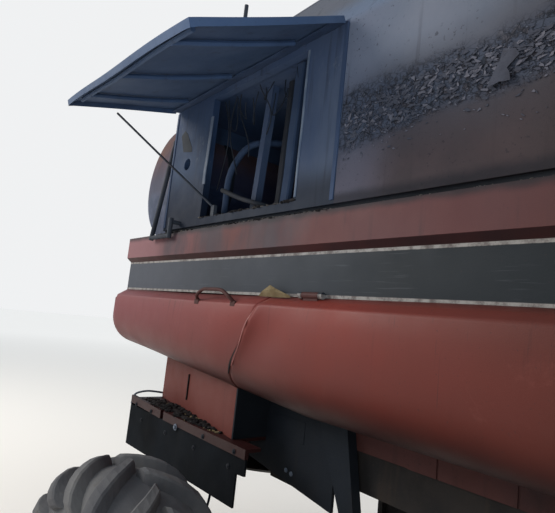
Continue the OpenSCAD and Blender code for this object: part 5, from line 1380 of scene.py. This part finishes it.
def build_engine():
    """Pipes, covers and belt wheels on the plain block: turned parts and bent tubes."""
    y0, face_x = 3.25, -0.495
    main = [(-0.44, rearward(y0 + 0.1), 2.62), (-0.5, rearward(y0 + 0.15), 2.7),
            (-0.5, rearward(y0 + 0.65), 2.7), (-0.44, rearward(y0 + 0.7), 2.62)]
    parts = [tube_mesh(rounded_path(main, 0.05), 0.045, 14)]
    for k in range(6):
        y = rearward(y0 + 0.13 + 0.1 * k)
        parts.append(tube_mesh(rounded_path([(-0.41, y, 2.58), (-0.48, y, 2.60), (-0.50, y, 2.68)], 0.03),
                               0.024, 10))
        parts.append(tube_mesh([(-0.42, y + 0.03, 2.83), (-0.30, y + 0.03, 2.897)], 0.012, 8))
    parts.append(box_mesh((-0.34, rearward(y0 + 0.05), 2.885), (0.46, rearward(y0 + 0.7), 2.935)))
    parts.append(box_mesh((-0.455, rearward(y0 + 0.2), 2.36), (-0.42, rearward(y0 + 0.6), 2.50)))
    soften(put_piece("engine_manifolds", *joined(parts), rusty_iron, "rusty_iron"), 0.006)
    wheels = []
    turn = np.array([(0, 1, 0), (0, 0, 1), (1, 0, 0)], float)
    for y, z, r in ((y0 + 0.2, 2.46, 0.13), (y0 + 0.52, 2.58, 0.09), (y0 + 0.36, 2.74, 0.07)):
        outline = [(r, 0), (r, 0.012), (r - 0.012, 0.02), (r, 0.028), (r, 0.04), (r * 0.4, 0.04),
                   (r * 0.35, 0.07)]
        wheel, faces = turned_mesh(outline, 28)
        wheels.append((wheel @ turn + [face_x, rearward(y), z], faces))
    put_piece("engine_belt_wheels", *joined(wheels), rusty_iron, "rusty_iron")


build_bay()
build_engine()


# Spreader frame, curtain and side sheets
def build_spreader_trim():
    """Stay and marker rods, bolts on the spreader frame's flanges, patch and holes of the side sheets."""
    flange_x, sheet_x = -1.2435, 1.0088
    rod("curtain_stay_rod", [(-1.236, 4.665, 1.262), (-1.226, 4.672, 1.318), (-1.15, 4.672, 1.336),
                             (-1.02, 4.668, 1.322), (-0.9, 4.664, 1.29)], 0.006, 0.06, worn_steel,
                             "bare_steel")
    rod("tail_marker_rod", [(-1.2, 3.742, 1.19), (-1.2, 3.77, 1.0), (-1.2, 3.82, 0.82)], 0.006, 0.04,
        char_steel, "black_paint")
    bolts("flange_pale_bolt", [(flange_x, rearward(4.088), 1.254)], (-1, 0, 0), 0.010, worn_steel,
          "bare_steel")
    rows = [(flange_x, rearward(y), 1.272) for y in (3.56, 3.82, 4.38, 4.58)]
    rows += [(flange_x + 0.006, rearward(y), 1.20) for y in (3.6, 3.9, 4.2, 4.5)]
    bolts("flange_bolts_right", rows, (-1, 0, 0), 0.007, char_steel, "black_paint")
    bolts("flange_bolts_left", [(-x, y, z) for x, y, z in rows], (1, 0, 0), 0.007, char_steel, "black_paint")
    flat_bar("chute_slit", (-1.1085, 4.24, 1.36), (-1.1085, 4.24, 1.50), 0.009, 0.014, 0.001, soot_crust,
             "dark_red_paint", 3)
    for side, word in SIDES:
        x = side * sheet_x
        patch = box_mesh((x - 0.001, rearward(3.378), 1.328), (x + 0.001, rearward(3.601), 1.422))
        soften(put_piece("side_sheet_patch_" + word, *patch, black_paint, "black_paint"), 0.0008, 1)
        bolts("side_sheet_holes_" + word, [(x, rearward(3.475), 1.196), (x, rearward(3.44), 1.19)],
              (side, 0, 0), 0.006, worn_steel, "black_paint")


build_spreader_trim()


# Fittings of wheels, cab, tank, engine deck, auger, boots, drives and tail
def ring_mesh(centre, radius, axis, thick, count=48, sides=8):
    """Tube round a circle about an axis: its last point falls on its first, so its ends meet inside it."""
    angle = np.linspace(0, 2 * np.pi, count + 1)
    flat = np.stack([radius * np.cos(angle), radius * np.sin(angle), 0 * angle], -1)
    return tube_mesh(flat @ facing([axis])[0].T + np.asarray(centre, float), thick, sides)


def turned_at(outline, centre, axis, sides=24):
    """Outline of (radius, height) points turned about an axis through the centre."""
    points, faces = turned_mesh(outline, sides)
    return points @ facing([axis])[0].T + np.asarray(centre, float), faces


def window_ring(place, us, vs, radius):
    """Tube round a rectangle, its ends meeting in the middle of one side; place(u, v) gives each corner."""
    pairs = ((us[0], vs[0]), (us[0], vs[1]), (us[1], vs[1]), (us[1], vs[0]))
    corners = [np.array(place(u, v), float) for u, v in pairs]
    first = (corners[0] + corners[-1]) / 2
    return tube_mesh(rounded_path([first] + corners + [first], 0.05), radius, 8)


def across_ring(y, xs, zs, radius):
    """Tube round a rectangle that stands across the machine."""
    return window_ring(lambda x, z: (x, rearward(y), z), xs, zs, radius)


def along_ring(x, ys, zs, radius):
    """Tube round a rectangle that stands along the machine."""
    return window_ring(lambda y, z: (x, rearward(y), z), ys, zs, radius)


def flighting(start, end, inner, outer, pitch):
    """Screw blade between two points: a line from the shaft to the edge, turned once per pitch as it moves
    along, with the same again one thickness further on, and walls at its edges and ends."""
    thickness, steps_a_turn = 0.004, 16
    start, end = np.asarray(start, float), np.asarray(end, float)
    length = np.linalg.norm(end - start)
    turn = facing([end - start])[0]
    t = np.linspace(0, 1, int(length / pitch * steps_a_turn))
    angle = 2 * np.pi * length / pitch * t
    ring = []
    for r, shift in ((inner, 0), (outer, 0), (outer, thickness), (inner, thickness)):
        local = np.stack([r * np.cos(angle), r * np.sin(angle), t * (length - thickness) + shift], -1)
        ring.append(local @ turn.T + start)
    return four_sided(np.stack(ring, 1))


def bolt_circle(centre, radius, count, start, across):
    """Places round a circle that lies across one axis, X or Z."""
    angle = np.linspace(0, 2 * np.pi, count, endpoint=False) + start
    first, second = radius * np.cos(angle), radius * np.sin(angle)
    flat = [0 * angle, first, second] if across == "x" else [first, second, 0 * angle]
    return np.stack(flat, -1) + centre


def build_wheel_fittings():
    """Nuts in a ring, hub cap with its grease cap, valve, and rolled beads on the rim's edges."""
    # axle, disc's outer face, nut ring, nuts, nut radius, cap radius, cap height
    axles = [("front", 1.42, 0.165, 10, 0.017, 0.115, 0.075), ("rear", 1.73, 0.100, 8, 0.012, 0.066, 0.055)]
    wheels = [(axle, side) for axle in axles for side in ((1, "left"), (-1, "right"))]
    for (axle, face_x, ring_r, count, nut_r, cap_r, cap_h), (side, word) in wheels:
        node, body, out = f"{axle}_rim_{word}", f"{axle}_wheel_{word}", (side, 0, 0)
        lo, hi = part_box(node)
        middle = np.array([0, (lo.y + hi.y) / 2, (lo.z + hi.z) / 2])
        rim_r = (hi.z - lo.z) / 2
        edge_x = hi.x if side > 0 else lo.x

        def at(x, z=0.0):
            """Point beside the wheel's middle."""
            return middle + [x, 0, z]

        bolts(node + "_nuts", bolt_circle(at(side * face_x), ring_r, count, 0.2, "x"), out, nut_r, bare_steel,
              "rim_paint", body)
        cap = [(cap_r, 0), (cap_r, cap_h * 0.5), (cap_r * 0.92, cap_h * 0.62), (cap_r * 0.55, cap_h * 0.7),
               (cap_r * 0.5, cap_h * 0.95), (cap_r * 0.4, cap_h)]
        put_piece(node + "_hub_cap", *turned_at(cap, at(side * face_x), out, 28), worn_steel, "rim_paint",
                  body)
        beads = [ring_mesh(at(edge_x - side * 0.006), rim_r - 0.007, out, 0.007),
                 ring_mesh(at(edge_x - side * 0.1), rim_r - 0.014, out, 0.006),
                 ring_mesh(at(side * (face_x + 0.004)), ring_r * 1.32, out, 0.006)]
        put_piece(node + "_beads", *joined(beads), rim_paint, "rim_paint", body, smooth=True)
        valve = [at(side * (face_x + x), rim_r - z) for x, z in ((0.012, 0.055), (0.05, 0.05), (0.08, 0.075))]
        put_piece(node + "_valve", *tube_mesh(valve, 0.005, 8), bare_steel, "rim_paint", body, smooth=True)


def windscreen_y(z):
    """Place of the windscreen's outer face, which leans forwards as it rises."""
    return rearward(-1.06 - 0.09 * (z - 1.985) / 1.345)


def build_cab_outside():
    """Rubber seals round the windows and the door, door pull, grab rail and wiper."""
    seals = [window_ring(lambda x, z: (x, windscreen_y(z) - 0.004, z), (0.765, -0.765), (2.115, 3.24), 0.011),
             along_ring(-0.852, (-0.9, 0.18), (2.385, 3.24), 0.011),
             across_ring(0.331, (0.73, -0.73), (2.585, 3.21), 0.011)]
    put_piece("cab_window_seals", *joined(seals), rubber_sheet, "black_rubber", smooth=True)
    door_seal = along_ring(0.857, (-0.492, 0.112), (2.225, 3.192), 0.009)
    put_piece("cab_door_seal", *door_seal, rubber_sheet, "black_rubber", "cab_door", smooth=True)
    rod("cab_door_pull",
        [(0.855, -0.515, 2.42), (0.905, -0.515, 2.44), (0.905, -0.515, 2.60), (0.855, -0.515, 2.62)],
        0.009, 0.03, char_steel, "dark_red_paint", "cab_door")
    rod("cab_grab_rail_left",
        [(0.845, -0.66, 2.12), (0.915, -0.66, 2.15), (0.915, -0.72, 2.92), (0.845, -0.72, 2.95)],
        0.013, 0.05, rail_steel, "dark_red_paint")
    stations = ((0.05, 3.2, 0.035), (0.16, 3.0, 0.045), (0.34, 2.72, 0.03))
    arm = [(x, windscreen_y(z) - off, z) for x, z, off in stations]
    blade = [(x, windscreen_y(z) - 0.022, z) for x, z in ((0.10, 2.98), (0.34, 2.72), (0.56, 2.46))]
    wiper = [tube_mesh(rounded_path(arm, 0.05), 0.008, 8), tube_mesh(blade, 0.007, 6),
             turned_at([(0.03, 0), (0.03, 0.03), (0.018, 0.045)], (0.05, windscreen_y(3.2) - 0.004, 3.2),
                       (0, -1, 0), 16)]
    put_piece("cab_wiper", *joined(wiper), cab_plastic, "cab_plastic")


def build_cab_inside():
    """Seat pleats and armrests as tubes, and four levers with turned knobs beside their console."""
    y = rearward
    pleats = []
    for k in range(6):
        at = y(-0.40 + 0.085 * k)
        pleats.append(tube_mesh([(-0.235, at, 2.462), (0, at, 2.47), (0.235, at, 2.462)], 0.042, 10))
    for k in range(6):
        z = 2.53 + 0.075 * k
        pleats.append(tube_mesh([(-0.215, y(0.005), z), (0, y(0.012), z), (0.215, y(0.005), z)], 0.038, 10))
    for x in (-0.29, 0.29):
        arm = [(x, y(0.03), 2.45), (x, y(0.0), 2.66), (x, y(-0.30), 2.67)]
        pleats.append(tube_mesh(rounded_path(arm, 0.06), 0.026, 10))
    put_piece("cab_seat_pleats", *joined(pleats), cab_plastic, "cab_plastic", smooth=True)
    levers, knob = [], [(0.004, 0), (0.02, 0.012), (0.022, 0.03), (0.008, 0.045)]
    for k in range(4):
        x, at = -0.62 + 0.05 * (k % 2), y(-0.5 + 0.13 * k)
        levers.append(tube_mesh([(x, at, 2.56), (x + 0.01, at - 0.02, 2.66), (x + 0.02, at - 0.05, 2.75)],
                                0.006, 8))
        levers.append(turned_at(knob, (x + 0.02, at - 0.05, 2.745), (0.05, -0.3, 1), 12))
    levers.append(box_mesh((-0.69, y(-0.62), 2.56), (-0.50, y(-0.56), 2.74)))
    put_piece("cab_levers", *joined(levers), cab_plastic, "cab_plastic")


def build_cab_roof():
    """Ribs along the roof, and lenses with round-edged bezels on the lamps under its front."""
    ribs = [box_mesh((x - 0.03, rearward(-1.0), 3.455), (x + 0.03, rearward(0.2), 3.468))
            for x in (-0.6, -0.3, 0.0, 0.3, 0.6)]
    soften(put_piece("cab_roof_ribs", *joined(ribs), dark_red_paint, "dark_red_paint"), 0.006)
    lamps_x = (-0.70, -0.45, 0.45, 0.70)
    bezels = [across_ring(-1.303, (x - 0.074, x + 0.074), (3.356, 3.434), 0.006) for x in lamps_x]
    put_piece("cab_lamp_bezels", *joined(bezels), cab_plastic, "lamp_plastic", smooth=True)
    lens = [box_mesh((x - 0.068, rearward(-1.306), 3.362), (x + 0.068, rearward(-1.299), 3.428))
            for x in lamps_x]
    soften(put_piece("cab_lamp_lenses", *joined(lens), lamp_plastic, "lamp_plastic"), 0.003)


def build_mirrors_and_studs():
    """Glass and rolled edge of each mirror, and hexagonal studs in staggered rows on the platform."""
    near_x, far_x, rim = 1.205, 1.355, 0.006
    for side, word in SIDES:
        x0, x1 = sorted((side * near_x, side * far_x))
        glass = box_mesh((x0, rearward(-1.201), 2.75), (x1, rearward(-1.198), 3.13))
        put_piece("mirror_glass_" + word, *glass, lamp_plastic, "black_paint")
        edge = across_ring(-1.20, (x0 - rim, x1 + rim), (2.742, 3.138), 0.007)
        put_piece("mirror_edge_" + word, *edge, black_paint, "black_paint", smooth=True)
    step = 0.065
    studs = [(0.90 + step * i, rearward(-0.87 + step * j + 0.03 * (i % 2)), 1.974)
             for i in range(12) for j in range(18)]
    shape = turned_mesh([(0.011, 0), (0.008, 0.004)], 6)
    turns = np.broadcast_to(np.eye(3), (len(studs), 3, 3))
    put_piece("platform_studs", *copies(shape, studs, turns), rail_steel, "soot_steel")


def build_tank_fittings():
    """Rolled rim, tie bars and cross screw of the grain tank, and bolted straps over its side seams."""
    y, rim_x, brace_z, screw_y, screw_z = rearward, 0.983, 3.47, rearward(1.735), 2.50
    rim = window_ring(lambda x, at: (x, y(at), tank_top_z - 0.003), (rim_x, -rim_x), (0.58, 2.89), 0.012)
    put_piece("tank_rim_roll", *rim, burnt_paint, "burnt_paint", smooth=True)
    braces = [tube_mesh([(-rim_x - 0.02, y(at), brace_z), (rim_x + 0.02, y(at), brace_z)], 0.018, 10)
              for at in (1.35, 2.15)]
    braces += [tube_mesh([(x, y(0.50), brace_z), (x, y(2.93), brace_z)], 0.012, 8) for x in (-0.4, 0.4)]
    put_piece("tank_braces", *joined(braces), rail_steel, "burnt_paint", smooth=True)
    screw = [flighting((-0.9, screw_y, screw_z), (0.95, screw_y, screw_z), 0.03, 0.15, 0.26),
             tube_mesh([(-0.95, screw_y, screw_z), (1.0, screw_y, screw_z)], 0.032, 12)]
    put_piece("tank_cross_screw", *joined(screw), rusty_iron, "rusty_iron")
    seams_y, strap_x = (0.95, 1.68), 1.254
    seams = []
    for side in (-1, 1):
        x0, x1 = sorted((side * (stripe_x - 0.0005), side * strap_x))
        seams += [box_mesh((x0, y(at) - 0.02, 2.36), (x1, y(at) + 0.02, 3.07)) for at in seams_y]
    soften(put_piece("tank_seam_straps", *joined(seams), burnt_paint, "burnt_paint"), 0.0015, 1)
    places = np.array([(-strap_x, y(at), z) for at in seams_y for z in np.linspace(2.40, 3.03, 10)])
    bolts("tank_seam_bolts_right", places, (-1, 0, 0), 0.007, char_steel, "burnt_paint")
    bolts("tank_seam_bolts_left", places * [-1, 1, 1], (1, 0, 0), 0.007, char_steel, "burnt_paint")


def build_fuel_tank_fittings():
    """Weld beads, straps of trapezoid section, filler cap and sight tube of the fuel tank."""
    tank_y, tank_z, r = rearward(4.74), 2.68, 0.385
    middle = np.array([0, tank_y, tank_z])
    welds = [ring_mesh(middle + [x, 0, 0], r - 0.001, (1, 0, 0), 0.004, 72, 6)
             for x in (-1.108, -0.52, 0.068)]
    put_piece("fuel_tank_welds", *joined(welds), tank_skin, "burnt_tank", smooth=True)
    angle = np.linspace(0.0, 2 * np.pi, 73)
    ring = np.stack([0 * angle, np.cos(angle), np.sin(angle)], -1)
    section = ((-0.025, 0.0), (-0.024, 0.004), (0.024, 0.004), (0.025, 0.0))
    straps = [four_sided(np.stack([middle + [x + e, 0, 0] + ring * (r + 0.001 + k) for e, k in section], 1))
              for x in (-0.92, -0.12)]
    put_piece("fuel_tank_straps", *joined(straps), char_steel, "burnt_tank")
    neck = [(0.045, -0.02), (0.045, 0.03), (0.062, 0.032), (0.062, 0.055), (0.05, 0.062), (0.02, 0.066)]
    cap = [turned_at(neck, (-0.55, tank_y, 3.065), (0, 0, 1), 24),
           tube_mesh([(-0.60, tank_y, 3.133), (-0.50, tank_y, 3.133)], 0.008, 8)]
    put_piece("fuel_tank_cap", *joined(cap), char_steel, "burnt_tank")
    rod("fuel_sight_tube",
        [(-1.165, 4.66, 2.42), (-1.185, 4.66, 2.43), (-1.185, 4.66, 2.93), (-1.165, 4.66, 2.94)],
        0.007, 0.02, rail_steel, "burnt_tank")


def upright_slats(centre, radius, count, lo, hi):
    """Small boxes between two corners, standing in a circle, each turned with its place on it."""
    slats = []
    for a in 2 * np.pi * np.arange(count) / count:
        turn = np.array([[np.cos(a), -np.sin(a), 0], [np.sin(a), np.cos(a), 0], [0, 0, 1]])
        points, faces = box_mesh(lo, hi)
        slats.append((points @ turn.T + centre + [radius * np.cos(a), radius * np.sin(a), 0], faces))
    return slats


def build_roof_fittings():
    """Guard and rings of the exhaust, fins and lid of the air cleaner, beads and bolts of the bay's roof."""
    y, up = rearward, (0, 0, 1)
    guard = upright_slats([0.25, y(3.60), 3.27], 0.128, 26, (-0.002, -0.009, -0.115), (0.002, 0.009, 0.115))
    guard += [ring_mesh((0.25, y(3.60), z), 0.130, up, 0.005, 36, 6) for z in (3.155, 3.27, 3.385)]
    put_piece("muffler_guard", *joined(guard), rusty_iron, "rusty_iron")
    pipe = [ring_mesh((0.25, y(3.60), z), 0.047, up, 0.006, 28, 6) for z in (3.42, 3.525)]
    put_piece("muffler_pipe_rings", *joined(pipe), rusty_iron, "rusty_iron", smooth=True)
    fins = upright_slats([-0.5, y(3.50), 3.285], 0.0, 30, (0.124, -0.002, -0.055), (0.138, 0.002, 0.055))
    fins.append(turned_at([(0.136, 0), (0.134, 0.012), (0.10, 0.028), (0.04, 0.036)], (-0.5, y(3.50), 3.36),
                          up, 30))
    put_piece("intake_cleaner_fins", *joined(fins), char_steel, "rusty_iron")
    roof_z = fold_z - 0.001
    beads = [tube_mesh([(-1.15, y(at), roof_z), (1.15, y(at), roof_z)], 0.007, 6)
             for at in (3.2, 3.95, 4.2, 4.44)]
    put_piece("roof_beads", *joined(beads), bay_steel, "soot_steel", smooth=True)
    places = [(x, y(at), 3.0855) for at in (3.12, 4.50) for x in np.linspace(-1.1, 1.1, 12)]
    bolts("roof_bolts", places, up, 0.008, char_steel, "soot_steel")


def build_auger_fittings():
    """Bands round the unloading auger's tube, the screw's end in its mouth, and bolts of its lower flange."""
    lo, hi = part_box("unloading_auger")
    tube_x, tube_r = 1.45, 0.185
    tube_z = hi.z - tube_r

    def on_axis(at):
        """Point on the tube's axis."""
        return tube_x, rearward(at), tube_z

    bands = [ring_mesh(on_axis(at), tube_r - 0.004, (0, 1, 0), 0.008) for at in (1.3, 2.5, 3.7, 4.75)]
    put_piece("auger_bands", *joined(bands), dark_red_paint, "dark_red_paint", "unloading_auger", smooth=True)
    screw = [flighting(on_axis(3.9), on_axis(4.98), 0.03, 0.165, 0.30),
             tube_mesh([on_axis(3.9), on_axis(5.03)], 0.031, 12)]
    put_piece("auger_screw_end", *joined(screw), rusty_iron, "rusty_iron", "unloading_auger")
    low = bolt_circle((tube_x, rearward(0.56), lo.z + 0.024), 0.203, 12, 0.0, "z")
    bolts("auger_flange_bolts", low, (0, 0, 1), 0.009, char_steel, "dark_red_paint", "unloading_auger")


def build_boot_fittings():
    """Bearing housing and ring of bolts on each elevator boot."""
    bearings, boot_z = [], 1.05
    for at, r, x in ((1.325, 0.118, -1.1905), (2.155, 0.083, -1.1605)):
        centre = (x, rearward(at), boot_z)
        bolts(f"boot_bolts_{int(at * 100)}", bolt_circle(centre, r, 8, 0.0, "x"), (-1, 0, 0), 0.008,
              char_steel, "dark_red_paint")
        outline = [(r * 0.62, 0), (r * 0.62, 0.012), (r * 0.3, 0.016), (r * 0.28, 0.035)]
        bearings.append(turned_at(outline, centre, (-1, 0, 0)))
    put_piece("boot_bearings", *joined(bearings), grimy_iron, "dark_red_paint")


def belt(a, b, x):
    """Closed belt round two wheels given as (y, z, radius): tangent runs joined by two arcs, with a section
    that narrows inwards."""
    width, depth, gap = 0.022, 0.012, 0.006
    (ya, za, ra), (yb, zb, rb) = a, b
    ra, rb = ra + gap, rb + gap
    span = np.hypot(yb - ya, zb - za)
    base, lean = np.arctan2(zb - za, yb - ya), np.arccos((ra - rb) / span)
    first = np.linspace(base + lean, base + 2 * np.pi - lean, 20)
    second = np.linspace(base - lean, base + lean, 20)
    path = np.concatenate([np.stack([ya + ra * np.cos(first), za + ra * np.sin(first)], -1),
                           np.stack([yb + rb * np.cos(second), zb + rb * np.sin(second)], -1)])
    path = np.concatenate([path, path[:1]])
    away = np.gradient(path, axis=0)
    away = np.stack([away[:, 1], -away[:, 0]], -1)
    away /= np.linalg.norm(away, axis=1)[:, None]
    rows = []
    for e, k in ((-0.5, 0.0), (0.5, 0.0), (0.35, -depth), (-0.35, -depth)):
        at = path + away * k
        rows.append(np.stack([np.full(len(path), x + e * width), rearward(at[:, 0]), at[:, 1]], -1))
    return four_sided(np.stack(rows, 1))


def build_drive_belts():
    """Two belts over the wheels behind the left shield."""
    front, middle, rear = (1.15, 1.70, 0.15), (1.75, 1.75, 0.22), (3.0, 1.65, 0.11)
    belts = [belt(front, middle, 1.098), belt(middle, rear, 1.072)]
    put_piece("drive_belts", *joined(belts), rubber_sheet, "black_rubber")


def build_tail_fittings():
    """Lenses and bezels of the tail lamps, and the hatch edge, hinges, handle and bolts of the tail wall."""
    y, wall_y, hinges_x = rearward, 4.951, (-0.45, 0.25)
    lamps_x = (-1.15, 1.15)
    lens = [box_mesh((x - 0.042, y(4.979), 2.187), (x + 0.042, y(4.986), 2.233)) for x in lamps_x]
    bezels = [across_ring(4.981, (x - 0.047, x + 0.047), (2.183, 2.237), 0.004) for x in lamps_x]
    soften(put_piece("tail_lamp_lenses", *joined(lens), red_paint, "lamp_plastic"), 0.003)
    put_piece("tail_lamp_bezels", *joined(bezels), cab_plastic, "lamp_plastic", smooth=True)
    hatch = across_ring(wall_y, (-0.62, 0.42), (1.72, 2.12), 0.007)
    put_piece("tail_hatch_edge", *hatch, red_paint, "red_paint", smooth=True)
    hinges = [tube_mesh([(x - 0.05, y(4.956), 2.135), (x + 0.05, y(4.956), 2.135)], 0.010, 10)
              for x in hinges_x]
    hinges += [box_mesh((x - 0.045, y(4.949), 2.09), (x + 0.045, y(4.955), 2.13)) for x in hinges_x]
    put_piece("tail_hatch_hinges", *joined(hinges), dark_red_paint, "red_paint")
    rod("tail_hatch_handle",
        [(-0.16, 4.95, 1.78), (-0.16, 4.985, 1.78), (-0.04, 4.985, 1.78), (-0.04, 4.95, 1.78)],
        0.008, 0.02, dark_red_paint, "red_paint")
    places = [(x, y(wall_y), 2.03) for x in np.linspace(-1.2, 1.2, 13)]
    bolts("tail_wall_bolts", places, (0, 1, 0), 0.008, char_steel, "red_paint")


build_wheel_fittings()
build_cab_outside()
build_cab_inside()
build_cab_roof()
build_mirrors_and_studs()
build_tank_fittings()
build_fuel_tank_fittings()
build_roof_fittings()
build_auger_fittings()
build_boot_fittings()
build_drive_belts()
build_tail_fittings()
